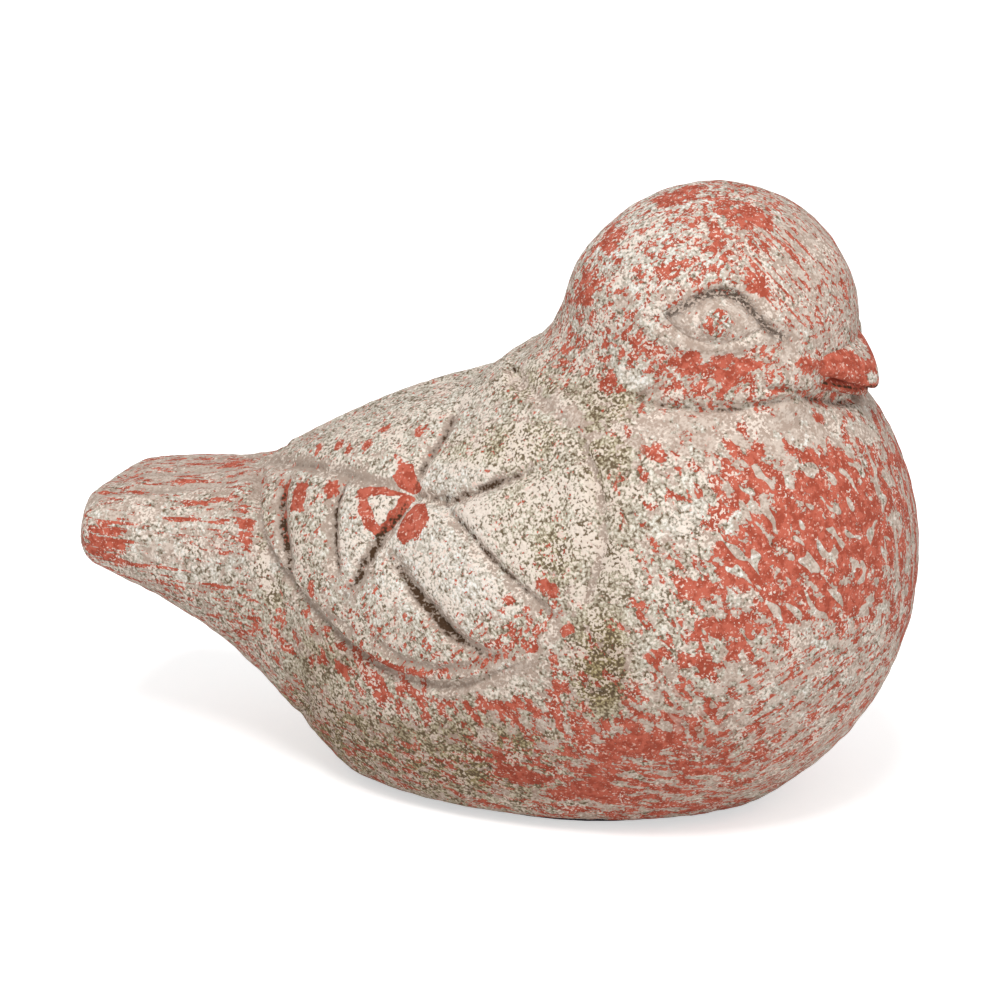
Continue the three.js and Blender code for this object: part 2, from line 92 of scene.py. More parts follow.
# Marks of tools on the wing: half width and depth in mm, how dark their bottom is painted, partly dirt and
# partly painted shade, on which side of the way that lies, and the way in the photograph in pixels.
TOOL_MARKS = [
    (1.7, 1.8, 0.45, 1, [(264, 458), (300, 462), (330, 468), (350, 475), (380, 484), (410, 493)]),
    (1.5, 1.9, 0.8, 1, [(411, 492), (423, 463), (434, 445), (446, 427), (458, 406)]),
    (1.9, 2.5, 0.8, 1, [(408, 493), (425, 498), (450, 498), (470, 491), (493, 482), (520, 473), (545, 464)]),
    (2.1, 2.8, 1.05, -1, [(410, 494), (395, 514), (378, 535), (366, 557), (355, 579), (344, 600)]),
    (2.0, 3.0, 1.2, -1,
     [(385, 550), (399, 571), (413, 592), (428, 610), (443, 629), (464, 646), (488, 657)]),
    (1.8, 2.1, 0.75, 1,
     [(425, 498), (442, 507), (455, 521), (470, 540), (495, 566), (520, 590), (552, 620)]),
    (1.8, 2.4, 1.0, -1, [(286, 476), (280, 500), (280, 530), (286, 558), (293, 582)]),
    (1.7, 2.3, 1.05, 1, [(341, 480), (331, 508), (330, 535), (335, 577)]),
    (1.3, 1.2, 0.3, -1, [(372, 640), (392, 655), (415, 665), (447, 670), (480, 666), (505, 655)]),
    (1.1, 0.8, 0.4, -1, [(301, 588), (313, 602), (330, 617), (352, 632)]),
]
# The lids, folds and creases of the photograph, by their way in pixels.
UPPER_LID = [
    (668, 315), (680, 308), (692, 302), (704, 295), (716, 292), (730, 292), (743, 299), (753, 312),
    (765, 326), (782, 337),
]
LOWER_LID = [(640, 324), (656, 332), (676, 341), (700, 347), (735, 347), (762, 340), (790, 336)]
UNDER_HEAD = [(636, 398), (665, 404), (700, 409), (735, 409), (768, 405), (800, 399), (850, 401)]
MOUTH_FOLD = [(765, 389), (790, 390), (820, 398), (850, 403)]
TAIL_CREASE = [(257, 462), (254, 495), (257, 530), (267, 565), (279, 605), (290, 645), (299, 680), (305, 712)]
CHEEK_FOLD = [(640, 394), (662, 391), (690, 384)]
BEAK_ROOT = [(801, 364), (820, 365), (842, 368)]
FRONT_CREASE = [(584, 446), (592, 468), (599, 495), (602, 520), (601, 548), (594, 575), (586, 600)]
FRONT_SWELL = [(572, 445), (580, 500), (578, 560), (564, 605)]
SHOULDER = [(500, 412), (530, 400), (560, 403), (585, 425), (592, 455)]
BELOW_WING = [(430, 694), (470, 690), (505, 676), (540, 654), (560, 626)]
# How many pixels to each side a fold reaches, and how many mm it rises.
FOLDS = [
    (TAIL_CREASE, 7, -1.0), (CHEEK_FOLD, 5, -0.9), (BEAK_ROOT, 6, 1.2), (FRONT_SWELL, 16, 0.8),
    (FRONT_CREASE, 5.5, -0.9), (FRONT_CREASE, 14, -0.5), (BELOW_WING, 6, 0.9), (SHOULDER, 8, 0.35),
]
# Low swells and hollows: middle and half widths in pixels, turn in degrees, and rise in mm.
SWELLS = [
    ((562, 290), (34, 60), 25, 1.6), ((450, 372), (80, 26), -12, 1.5), ((235, 640), (60, 30), 45, 1.2),
    ((848, 240), (22, 44), -20, 1.6), ((335, 410), (70, 24), -22, 0.6), ((526, 336), (28, 16), -30, -1.3),
    ((118, 468), (26, 14), -38, -1.4), ((160, 452), (14, 8), 0, 0.7),
]
# Small pits, by their place, and their half width in pixels and depth in mm.
PITS = [
    (600, 693), (615, 693), (488, 768), (632, 515), (700, 566), (745, 550), (775, 545), (818, 545),
    (515, 370),
]
pit = dict(wide=2.2, deep=0.9)
# The unevenness of the clay all over: height and size in mm, and seed.
UNEVENNESS = [(0.2, 13, 4), (0.15, 5, 5), (0.17, 2.3, 6)]

# The crease round the wing lies outside its rim. In mm: how far out, how wide and how deep, and then how
# much of it is smooth with wash and how much is painted dark as shade.
wing_crease = dict(out=1.2, wide=1.6, deep=1.35, washed=0.5, dark=0.3)
tail_lines = dict(start=8, end=6, wide=1.8, depth=0.9, beside=[[5, 7], [13, 19]])
# The upper lid is a cut over the eye, and the lower lid a low ridge under it.
upper_lid = dict(wide=1.2, deep=1.8)
lower_lid_ridge = dict(wide=1.5, high=0.6)

# The eye lies ahead of the head's middle and above it by these shares of its half sizes. Its rim is sunk
# below the head's skin, and its dome rises from there.
eye = dict(ahead=0.27, up=0.22, length=24.6, height=10.6, tilt=-7, pointed=0.62, sunk=0.8, dome=2.4)
iris = dict(ahead=1.3, down=0.1, diameter=7.8, proud=0.7, hollow=0.2)
beak = dict(root=28, length=13.6, root_drop=5.5, tip_drop=13, hook=1.8, width=21.5, tip_width=4)
UPPER_HALF = dict(height=4.6, tip_height=3.6, drop=0, share=1)
LOWER_HALF = dict(height=2.6, tip_height=2.2, drop=5, share=0.8)

# How wide the cells are that the bird's skin is netted with, and how far its mesh starts inside the CAD
# part's skin, so that the relief stays within it.
CELL = 1.15
SHRINK = 0.2
# The corners of the box that is netted.
NET_FROM, NET_TO = (-114.0, -66.0, -3.0), (113.0, 66.0, 161.0)
# How far inside the CAD part's box every point of the skin is kept.
CLEAR = 0.05


def lerp(a, b, t):
    return a + (b - a) * t


def smooth(v, low, high):
    t = np.clip((v - low) / (high - low), 0, 1)
    return t * t * (3 - 2 * t)


# Noise on a lattice of random values, about -1 to 1, with features of the given size in mm.
def noise(p, size, seed):
    values = np.random.default_rng(seed).uniform(-1, 1, (32, 32, 32))
    q = p / size + 100
    cell = np.floor(q).astype(int)
    t = q - cell
    t = t * t * (3 - 2 * t)
    total = 0
    for corner in np.ndindex(2, 2, 2):
        weight = np.prod(np.where(corner, t, 1 - t), axis=1)
        total = total + weight * values[tuple(((cell + corner) % 32).T)]
    return total


# Signed distances, negative inside a form.
def egg(p, form):
    turn = math.radians(form["tilt"])
    dx = p[:, 0] - form["x"]
    dz = p[:, 2] - form["z"]
    u = (dx * math.cos(turn) + dz * math.sin(turn)) / form["length"]
    v = (p[:, 1] - form.get("y", 0)) / form["width"]
    w = (dz * math.cos(turn) - dx * math.sin(turn)) / form["height"]
    reach = np.sqrt(u * u + v * v + w * w)
    slope = np.sqrt((u / form["length"]) ** 2 + (v / form["width"]) ** 2 + (w / form["height"]) ** 2)
    return reach * (reach - 1) / np.maximum(slope, 1e-6)


def join(a, b, width):
    share = np.clip(0.5 + (b - a) / (2 * width), 0, 1)
    return b + (a - b) * share - width * share * (1 - share)


def trim(a, b, width):
    return -join(-a, -b, width)


# The tail: a bar with rounded edges that narrows and thins towards its fanned end.
def tail_bar(p):
    length = math.hypot(tail_tip["x"] - tail_root["x"], tail_tip["z"] - tail_root["z"])
    ux = (tail_tip["x"] - tail_root["x"]) / length
    uz = (tail_tip["z"] - tail_root["z"]) / length
    dx = p[:, 0] - tail_root["x"]
    dz = p[:, 2] - tail_root["z"]
    along = dx * ux + dz * uz
    across = dz * ux - dx * uz
    share = np.minimum(along / length, 1)
    width = lerp(tail_root["width"], tail_tip["width"], share)
    height = lerp(tail_root["height"], tail_tip["height"], share)
    power = TAIL_SQUARENESS
    section = (np.abs(p[:, 1] / width) ** power + np.abs(across / height) ** power) ** (1 / power)
    side = (section - 1) * np.minimum(width, height)
    end = along - length + TAIL_FAN * p[:, 1] ** 2
    return trim(trim(side, end, tail_tip["round"]), -along - tail_root["buried"], tail_root["round"])


# The whole bird without its relief, as in the CAD part.
def skin(p):
    bird = join(egg(p, breast), egg(p, rump), soft["rump"])
    bird = join(bird, egg(p, back), soft["back"])
    bird = join(bird, tail_bar(p), soft["tail"])
    bird = join(bird, egg(p, nape), soft["nape"])
    folded = p * [1, 0, 1] + np.abs(p) * [0, 1, 0]
    face = join(egg(p, head), egg(folded, cheek), soft["cheek"])
    return trim(join(bird, face, soft["neck"]), SEAT - p[:, 2], soft["base"])


# The way out of the skin at each point.
def slope(p):
    h = 0.01
    sides = [skin(p + h * np.eye(3)[i]) - skin(p - h * np.eye(3)[i]) for i in range(3)]
    return np.stack(sides, axis=1) / (2 * h)


# Moves points on to the skin.
def settle(p):
    for _ in range(3):
        g = slope(p)
        p = p - g * (skin(p) / np.sum(g * g, axis=1))[:, None]
    return p


def unit(v):
    return v / np.maximum(np.linalg.norm(v, axis=-1, keepdims=True), 1e-9)


# A net over the skin: a point in each cell of a grid that the surface passes through.
def skin_net(cell):
    low = np.array(NET_FROM)
    count = np.ceil((np.array(NET_TO) - low) / cell).astype(int) + 1
    axes = [low[i] + cell * np.arange(count[i]) for i in range(3)]
    grid = np.stack(np.meshgrid(*axes, indexing="ij"), axis=-1)
    value = np.concatenate([skin(slab.reshape(-1, 3)) for slab in grid]).reshape(count)
    inside = value < 0
    cells = count - 1
    total = np.zeros((*cells, 3))
    crossings = np.zeros(cells)

    def corner(array, offset):
        return array[tuple(slice(offset[i], offset[i] + cells[i]) for i in range(3))]

    for axis in range(3):
        for near in np.ndindex(2, 2, 2):
            if near[axis]:
                continue
            far = tuple(1 if i == axis else near[i] for i in range(3))
            a, b = corner(value, near), corner(value, far)
            crossed = (a < 0) != (b < 0)
            share = np.where(crossed, a / np.where(crossed, a - b, 1), 0)
            place = np.zeros((*cells, 3)) + near
            place[..., axis] = share
            total += place * crossed[..., None]
            crossings += crossed
    used = crossings > 0
    number = np.full(cells, -1)
    number[used] = np.arange(used.sum())
    points = (np.argwhere(used) + total[used] / crossings[used][:, None]) * cell + low
    points = settle(points)
    triangles = []
    for axis in range(3):
        one, two = (axis + 1) % 3, (axis + 2) % 3
        step = np.eye(3, dtype=int)
        first = inside[tuple(slice(0, -1) if i == axis else slice(None) for i in range(3))]
        second = inside[tuple(slice(1, None) if i == axis else slice(None) for i in range(3))]
        edge = np.argwhere(first != second)
        outward_first = first[tuple(edge.T)]
        ring = [edge - step[one] - step[two], edge - step[two], edge, edge - step[one]]
        quad = np.stack([number[tuple(r.T)] for r in ring], axis=1)
        quad[~outward_first] = quad[~outward_first][:, ::-1]
        p = points[quad]
        short = np.linalg.norm(p[:, 0] - p[:, 2], axis=1) < np.linalg.norm(p[:, 1] - p[:, 3], axis=1)
        triangles += [quad[short][:, [0, 1, 2]], quad[short][:, [0, 2, 3]]]
        triangles += [quad[~short][:, [0, 1, 3]], quad[~short][:, [1, 2, 3]]]
    return points, np.concatenate(triangles)


# Splits the wanted triangles in four, and their neighbours so that no gap opens.
def refine(points, triangles, wanted):
    edges = np.sort(triangles[:, [[0, 1], [1, 2], [2, 0]]].reshape(-1, 2), axis=1)
    edges, place = np.unique(edges, axis=0, return_inverse=True)
    place = place.reshape(-1, 3)
    split = np.zeros(len(edges), bool)
    split[place[wanted]] = True
    number = np.where(split, np.cumsum(split) - 1 + len(points), -1)
    middles = settle((points[edges[split, 0]] + points[edges[split, 1]]) / 2)
    m = number[place]
    count = (m >= 0).sum(axis=1)
    out = [triangles[count == 0]]
    t, n = triangles[count == 3], m[count == 3]
    for a, b, c in ((t[:, 0], n[:, 0], n[:, 2]), (n[:, 0], t[:, 1], n[:, 1]),
                    (n[:, 2], n[:, 1], t[:, 2]), (n[:, 0], n[:, 1], n[:, 2])):
        out.append(np.stack([a, b, c], axis=1))
    for turn in range(3):
        t, n = np.roll(triangles, -turn, axis=1), np.roll(m, -turn, axis=1)
        one = (count == 1) & (n[:, 0] >= 0)
        out.append(np.stack([t[one, 0], n[one, 0], t[one, 2]], axis=1))
        out.append(np.stack([n[one, 0], t[one, 1], t[one, 2]], axis=1))
        two = (count == 2) & (n[:, 2] < 0)
        out.append(np.stack([n[two, 0], t[two, 1], n[two, 1]], axis=1))
        out.append(np.stack([t[two, 0], n[two, 0], n[two, 1]], axis=1))
        out.append(np.stack([t[two, 0], n[two, 1], t[two, 2]], axis=1))
    return np.concatenate([points, middles]), np.concatenate(out)


# Points evenly spaced along a smooth line through the given ones.
def spaced(way, spacing):
    way = np.array(way, float)
    ends = np.concatenate([[2 * way[0] - way[1]], way, [2 * way[-1] - way[-2]]])
    dense = []
    for i in range(len(way) - 1):
        a, b, c, d = ends[i:i + 4]
        for t in np.linspace(0, 1, 20, endpoint=False):
            dense.append(0.5 * (2 * b + (c - a) * t + (2 * a - 5 * b + 4 * c - d) * t * t
                                + (3 * b - a - 3 * c + d) * t ** 3))
    dense = np.array(dense + [way[-1]])
    reach = np.concatenate([[0], np.cumsum(np.linalg.norm(np.diff(dense, axis=0), axis=1))])
    steps = np.linspace(0, reach[-1], max(3, round(reach[-1] / spacing)) + 1)
    return np.stack([np.interp(steps, reach, dense[:, i]) for i in range(dense.shape[1])], axis=1)


# Where the skin is met on the way from points inside it to points outside, found by halving.
def skin_between(at, inner, outer):
    for _ in range(30):
        middle = (inner + outer) / 2
        within = skin(at(middle)) < 0
        inner, outer = np.where(within, middle, inner), np.where(within, outer, middle)
    return at(inner)


# The points of the skin at (x, z) in side view, on the bird's right.
def on_skin(side_view):
    side_view = np.asarray(side_view, float)
    spine = np.zeros(len(side_view))

    def at(y):
        return np.stack([side_view[:, 0], -y, side_view[:, 1]], axis=1)

    return skin_between(at, spine, spine + 100)[skin(at(spine)) < 0]


# For each point: how far it lies from a way, where along it (0 to 1) and on which side of it, seen
# from the side.
def beside(p, way, reach):
    near = np.full(len(p), 1e3)
    share = np.zeros(len(p))
    side = np.zeros(len(p))
    low, high = way.min(axis=0) - reach, way.max(axis=0) + reach
    pick = np.flatnonzero(np.all((p > low) & (p < high), axis=1))
    q = p[pick]
    best, where, which = np.full(len(q), 1e3), np.zeros(len(q)), np.zeros(len(q))
    last = len(way) - 1
    for i in range(last):
        a, b = way[i], way[i + 1]
        t = np.clip((q - a) @ (b - a) / max((b - a) @ (b - a), 1e-9), 0, 1)
        foot = a + t[:, None] * (b - a)
        d = np.linalg.norm(q - foot, axis=1)
        closer = d < best
        turn = (b[0] - a[0]) * (q[:, 2] - a[2]) - (b[2] - a[2]) * (q[:, 0] - a[0])
        best = np.where(closer, d, best)
        where = np.where(closer, (i + t) / last, where)
        which = np.where(closer, np.sign(turn), which)
    near[pick], share[pick], side[pick] = best, where, which
    return near, share, side


# The camera stands where the photograph's did, found by laying the forms over the photograph.
AZIMUTH, ELEVATION, FAR = math.radians(19.8866), math.radians(17.7455), 1100.0
LENS, SENSOR, SIDE = 158.4, 36.0, 1000
LOOKED_AT = np.array([20.3, 0.0, 70.0])
AIM_LEFT, AIM_UP = 17.6, 2.11
back_way = np.array([math.sin(AZIMUTH) * math.cos(ELEVATION), -math.cos(AZIMUTH) * math.cos(ELEVATION),
                     math.sin(ELEVATION)])
right_way = np.array([math.cos(AZIMUTH), math.sin(AZIMUTH), 0.0])
camera_place = LOOKED_AT + FAR * back_way
camera_aim = LOOKED_AT - AIM_LEFT * right_way + AIM_UP * np.cross(back_way, right_way)
into_view = (camera_aim - camera_place) / np.linalg.norm(camera_aim - camera_place)
view_right = np.cross(into_view, [0, 0, 1]) / np.linalg.norm(np.cross(into_view, [0, 0, 1]))
view_up = np.cross(view_right, into_view)


# Where points lie in the photograph, in its pixels.
def in_photo(p):
    q = p - camera_place
    scale = LENS / SENSOR * SIDE / (q @ into_view)
    return SIDE / 2 + scale * (q @ view_right), SIDE / 2 - scale * (q @ view_up)


# The same places on the bird's right side, which the photograph shows.
def right_side(p):
    return p * [1, 0, 1] - np.abs(p) * [0, 1, 0]


# Distance to a closed line in side view or in the photograph, positive inside.
def polygon_distance(x, y, ring):
    near = np.full(len(x), 1e3)
    crossings = np.zeros(len(x), int)
    for (ax, ay), (bx, by) in zip(ring, np.roll(ring, -1, axis=0)):
        dx, dy = bx - ax, by - ay
        t = np.clip(((x - ax) * dx + (y - ay) * dy) / max(dx * dx + dy * dy, 1e-9), 0, 1)
        near = np.minimum(near, np.hypot(x - ax - t * dx, y - ay - t * dy))
        spans = (ay > y) != (by > y)
        at = ax + (y - ay) * dx / (dy if abs(dy) > 1e-9 else 1e-9)
        crossings += spans & (x < at)
    return np.where(crossings % 2 == 1, near, -near)


wing_rim = spaced(WING_OUTLINE, 2) + [WING_X, WING_Z]
wing_ring = np.concatenate([wing_rim, np.array(WING_ABOVE) + [WING_X, WING_Z]])
rim_on_skin = on_skin(wing_rim)

tail_ways = []
for at_start, at_end in tail_lines["beside"]:
    t = np.linspace(0, 1, 40)
    x = lerp(tail_seam["x"] - tail_lines["start"], tail_tip["x"] + tail_lines["end"], t)
    y = -lerp(at_start, at_end, t)
    inside = np.full(40, tail_tip["z"])
    tail_ways.append(skin_between(lambda z: np.stack([x, y, z], axis=1), inside, np.full(40, 150.0)))


# What a tool leaves along its way: how deep it goes, where the wash lies smooth in the mark, and where
# its bottom is painted dark to one side, partly dirt and partly painted shade.
def tool_mark(p, way, wide, deep, dark_side=1):
    near, share, side = beside(p, way, 3.5 * wide + 2)
    taper = np.sin(math.pi * np.clip((share + 0.05) / 1.1, 0, 1)) ** 0.5
    cut = 0.72 * np.exp(-(near / (0.95 * wide)) ** 2) + 0.28 * np.exp(-(near / (2.4 * wide)) ** 2)
    bottom = np.exp(-((near * side - 0.3 * dark_side * wide) / (0.6 * wide)) ** 2)
    bottom = bottom * np.exp(-(near / (2 * wide)) ** 4)
    return deep * taper * cut, taper * np.exp(-(near / (1.3 * wide)) ** 4), taper * bottom


def wing_rise(p):
    inward = polygon_distance(p[:, 0], p[:, 2], wing_ring)
    sideways = smooth(np.abs(p[:, 1]), FROM_SPINE, 24)
    forward = smooth(p[:, 0] - WING_X, 12, 44)
    rise = lerp(wing_height["edge"], wing_height["middle"], smooth(inward, 0, 14))
    rise = lerp(lerp(wing_height["spine"], rise, sideways), wing_height["front"], forward)
    step = smooth(inward, -0.5, 1.7) * smooth(np.abs(p[:, 1]), FROM_SPINE - 3, FROM_SPINE + 3)
    return rise * step, inward, forward


# The way on the raised skin of the bird's right side that a way in the photograph shows.
def on_bird(way):
    seen = (coarse[:, 1] < 0) & (np.sum(coarse_normals * (camera_place - coarse), axis=1) > 0)
    shown = coarse[seen]
    at = np.stack(in_photo(shown), axis=1)
    found = []
    for pixel in spaced(way, 5):
        away = np.sum((at - pixel) ** 2, axis=1)
        nearest = np.argsort(away)[:8]
        weight = 1 / (away[nearest] + 4)
        found.append(weight @ shown[nearest] / weight.sum())
    return spaced(found, 1.2)


points, triangles = skin_net(CELL)
coarse_normals = unit(slope(points))
coarse = points + coarse_normals * (wing_rise(points)[0] - SHRINK)[:, None]
tool_ways = [on_bird(way) for *_, way in TOOL_MARKS]
upper_lid_way, lower_lid_way = on_bird(UPPER_LID), on_bird(LOWER_LID)
feature_ways = tool_ways + [upper_lid_way, lower_lid_way] + tail_ways + [rim_on_skin]
feature_ways += [on_bird(UNDER_HEAD), on_bird(MOUTH_FOLD)]
# The net is finer near the marks, within this many mm of them.
for limit in ((5, 2.4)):
    middle = points[triangles].mean(axis=1)
    rough = right_side(middle + unit(slope(middle)) * wing_rise(middle)[0][:, None])
    nearest = np.full(len(rough), 1e3)
    for way in feature_ways:
        nearest = np.minimum(nearest, beside(rough, way, limit)[0])
    points, triangles = refine(points, triangles, nearest < limit)
normals = unit(slope(points))


# Low unevenness of hand-finished clay moves every line a little, and differently on the two sides.
def wander(size, seeds):
    return np.stack([noise(points, size, seed) for seed in seeds], axis=1)


rise, inward, forward = wing_rise(right_side(points) + 0.4 * wander(17, (1, 2, 3)))
raised = points + normals * (rise - SHRINK)[:, None]
p = right_side(raised) + 0.35 * wander(9, (11, 12, 13))
u, v = in_photo(right_side(raised))


# How near each point lies to a line of the photograph: 1 on it, about a third at its width in pixels, and
# 0 from twice that.
def photo_line(way, width, seen_at=None):
    pu, pv = (u, v) if seen_at is None else seen_at
    way = np.array(way, float)
    near = np.full(len(pu), 1e3)
    for (au, av), (bu, bv) in zip(way[:-1], way[1:]):
        du, dv = bu - au, bv - av
        t = np.clip(((pu - au) * du + (pv - av) * dv) / (du * du + dv * dv), 0, 1)
        near = np.minimum(near, np.hypot(pu - au - t * du, pv - av - t * dv))
    return np.exp(-(near / width) ** 2)


# How far each point lies within an oval of the photograph: 1 in its middle, 0 outside, and between them
# an edge as wide as that share of the oval.
def oval(at, half, turn, edge):
    a = math.radians(turn)
    du, dv = u - at[0], v - at[1]
    along = (du * math.cos(a) + dv * math.sin(a)) / half[0]
    across = (dv * math.cos(a) - du * math.sin(a)) / half[1]
    return 1 - smooth(np.hypot(along, across), 1 - edge, 1 + edge)


relief = rise - SHRINK
for height, size, seed in UNEVENNESS:
    relief = relief + height * noise(points, size, seed)
near_rim = beside(right_side(points), rim_on_skin, 9)[0]
crease = np.exp(-((near_rim - wing_crease["out"]) / wing_crease["wide"]) ** 2)
crease = crease * (inward < 0.6) * (1 - 0.75 * forward)
relief -= wing_crease["deep"] * crease

# groove says where the wash lies smooth in a mark, and shade where its bottom is painted dark, partly
# dirt and partly painted shade.
groove, shade = wing_crease["washed"] * crease, wing_crease["dark"] * crease
for (wide, deep, bottom_darkness, side, _), way in zip(TOOL_MARKS, tool_ways):
    cut, smoothed, dark = tool_mark(p, way, wide, deep, side)
    relief -= cut
    groove = np.maximum(groove, smoothed)
    shade = np.maximum(shade, bottom_darkness * dark)
for way in tail_ways:
    cut, smoothed, _ = tool_mark(p, way, tail_lines["wide"], tail_lines["depth"])
    relief -= cut
    groove = np.maximum(groove, 0.6 * smoothed)
# The cut of the upper lid, and along it a band painted dark as shade.
cut, lid_shade, _ = tool_mark(p, upper_lid_way, upper_lid["wide"], upper_lid["deep"])
relief -= cut
near, share, _ = beside(p, lower_lid_way, 4 * lower_lid_ridge["wide"])
lower_lid = np.exp(-(near / lower_lid_ridge["wide"]) ** 2) * np.sin(math.pi * np.clip(share, 0, 1)) ** 0.5
relief += lower_lid_ridge["high"] * lower_lid

relief -= 1.7 * np.maximum(photo_line(UNDER_HEAD, 6), 0.7 * photo_line(MOUTH_FOLD, 5))
for way, width, high in FOLDS:
    relief += high * photo_line(way, width)
for *place, high in SWELLS:
    relief += high * oval(*place, 0.8)
groove = np.maximum(groove, 0.9 * photo_line(FRONT_CREASE, 5.5))
pits = np.zeros(len(u))
for at in PITS:
    du, dv = u - at[0], v - at[1]
    pits = np.maximum(pits, np.exp(-(np.hypot(du - 0.5 * dv, 0.45 * dv) / pit["wide"]) ** 2))
pits = pits * (points[:, 1] < 0)
relief -= pit["deep"] * pits
# Painted shade: dark in the pits, in the crease under the head and the fold by the mouth, and a painted
# shadow along the foot, where the bird meets the floor.
painted_foot_shadow = 1 - smooth(points[:, 2], 1.8, 3.2)
shade = np.max([shade, pits, 0.6 * photo_line(UNDER_HEAD, 4), 0.5 * photo_line(MOUTH_FOLD, 3.5),
                0.9 * painted_foot_shadow], axis=0)

skin_points = points + normals * relief[:, None]
low, high = (np.array(corner) / MM for corner in cad_bounds)
skin_points = np.clip(skin_points, low + CLEAR, high - CLEAR)


def mesh_normals(p, t):
    face = np.cross(p[t[:, 1]] - p[t[:, 0]], p[t[:, 2]] - p[t[:, 0]])
    total = np.zeros_like(p)
    for i in range(3):
        np.add.at(total, t[:, i], face)
    return unit(total)


skin_normals = mesh_normals(skin_points, triangles)

# How the finish is spread. Each patch is an oval of the photograph in pixels: middle, half widths, turn
# in degrees, then how much red is bare, how gritty the wash is, how much moss, and how much darker it is,
# partly dirt and partly painted shade.
PATCHES = [
    ((800, 540), (140, 120), 0, 0.72, 0.25, 0, 0),
    ((835, 535), (70, 85), 30, 0.85, 0.1, 0, 0),
    ((660, 560), (55, 120), 0, 0.23, 0.8, 0.15, 0),
    ((595, 520), (36, 150), 0, 0.04, 0.97, 0.4, 0.2),
    ((740, 424), (165, 22), 0, 0.06, 0.08, 0, 0),
    ((820, 700), (100, 60), -20, 0.3, 0.3, 0, 0),
    ((650, 765), (130, 65), 0, 0.62, 0.2, 0.2, 0.15),
    ((430, 750), (130, 50), 12, 0.26, 0.8, 0.6, 0.35),
    ((330, 690), (70, 60), 30, 0.12, 0.8, 0.5, 0.4),
    ((450, 520), (150, 120), 0, 0.03, 1.0, 0, 0),
    ((430, 415), (130, 50), -20, 0.04, 0.85, 0.1, 0),
    ((400, 635), (100, 22), 20, 0.16, 0.9, 0.1, 0.15),
    ((520, 632), (54, 18), -20, 0.4, 0.8, 0.2, 0),
    ((400, 695), (70, 22), 10, 0.36, 0.9, 0.25, 0.1),
    ((285, 560), (40, 60), 0, 0.07, 0.95, 0.15, 0.1),
    ((190, 472), (95, 20), 0, 0.3, 0.05, 0.05, 0),
    ((190, 540), (90, 42), 12, 0.12, 0.55, 0, 0),
    ((105, 542), (26, 30), 0, 0.6, 0.9, 0.05, 0),
    ((655, 250), (85, 75), 0, 0.32, 0.97, 0, 0),
    ((740, 225), (60, 50), 0, 0.5, 0.6, 0, 0),
    ((805, 275), (58, 85), 0, 0.22, 0.05, 0, 0),
    ((712, 368), (68, 32), 0, 0.6, 0.25, 0.1, 0),
    ((600, 340), (50, 60), 0, 0.36, 0.8, 0.05, 0.05),
    ((590, 400), (45, 22), 0, 0.05, 0.95, 0.35, 0.2),
    ((905, 560), (24, 120), 0, 0.6, 0.2, 0, 0),
    ((556, 414), (26, 16), 10, 0.02, 0.1, 0, 0),
    ((535, 500), (46, 90), 0, 0.04, 1.0, 0.3, 0),
    ((605, 675), (26, 40), 0, 0.12, 0.95, 0.7, 0.4),
    ((716, 312), (66, 30), 0, 0.03, 0.05, 0, 0),
    ((130, 510), (46, 13), 4, 0.04, 0.25, 0, 0),
    ((792, 362), (14, 24), 0, 0.1, 0.1, 0, 0),
    ((768, 262), (24, 48), -20, 0.4, 0.3, 0, 0),
    ((258, 640), (26, 62), -30, 0.36, 0.75, 0.2, 0.15),
]

# Small marks, with their middle, half widths and turn. First those where the red lies bare.
RED_MARKS = [
    ((331, 488), (6, 10), 20), ((438, 475), (6, 7), 0), ((418, 431), (4, 7), 25),
    ((437, 448), (4, 5), 30), ((338, 446), (3, 6), 35), ((349, 448), (3, 6), 35),
    ((366, 445), (3, 7), 40), ((385, 429), (7, 2), -25), ((318, 449), (2, 6), 30),
    ((566, 631), (9, 5), -35), ((508, 600), (5, 6), 0), ((532, 648), (8, 5), 0),
    ((311, 590), (3, 9), 0), ((547, 588), (14, 8), 30), ((820, 530), (36, 18), 25),
    ((800, 555), (24, 14), 40), ((712, 628), (18, 11), -10), ((655, 455), (12, 6), 30),
    ((845, 480), (12, 22), -20), ((870, 540), (14, 26), 0), ((740, 565), (30, 14), 20),
    ((690, 590), (20, 10), 10), ((655, 655), (8, 6), 0), ((695, 665), (18, 9), 20),
    ((850, 600), (16, 10), 60), ((640, 745), (36, 10), -8), ((520, 775), (26, 8), 8),
    ((585, 790), (30, 8), 0), ((500, 705), (16, 5), 0), ((185, 453), (46, 5), 0),
    ((215, 463), (46, 4), 4), ((130, 491), (26, 4), 0), ((180, 482), (14, 4), 0),
    ((215, 499), (34, 3), -10), ((244, 525), (7, 26), -8), ((125, 518), (12, 2), -6),
    ((180, 518), (20, 4), -5), ((108, 543), (22, 18), 20), ((745, 215), (26, 10), 15),
    ((680, 196), (26, 7), -15), ((612, 240), (8, 18), 30), ((590, 290), (8, 20), 25),
    ((665, 273), (12, 8), 0), ((718, 235), (8, 10), -20), ((755, 285), (14, 9), 40),
    ((690, 362), (16, 14), 10), ((735, 370), (22, 14), 0), ((610, 385), (14, 8), 15),
    ((642, 345), (22, 6), 25),
]
# Then those that the white crust covers, and those with thick moss.
WHITE_MARKS = [
    ((430, 560), (60, 36), 35), ((440, 480), (30, 14), -20), ((270, 565), (6, 8), 0),
    ((690, 520), (24, 16), -40), ((635, 378), (18, 10), 10),
]
MOSS_MARKS = [
    ((525, 385), (30, 14), -10), ((500, 445), (60, 18), -10), ((594, 450), (12, 40), 0),
    ((600, 640), (26, 26), 0), ((590, 680), (24, 30), 0), ((272, 590), (9, 24), -20),
    ((555, 560), (22, 30), 0), ((460, 770), (60, 12), 10), ((520, 745), (50, 12), 0),
    ((330, 745), (40, 30), 30), ((300, 720), (14, 34), -25), ((262, 540), (6, 30), 0),
    ((620, 430), (14, 40), 0),
]
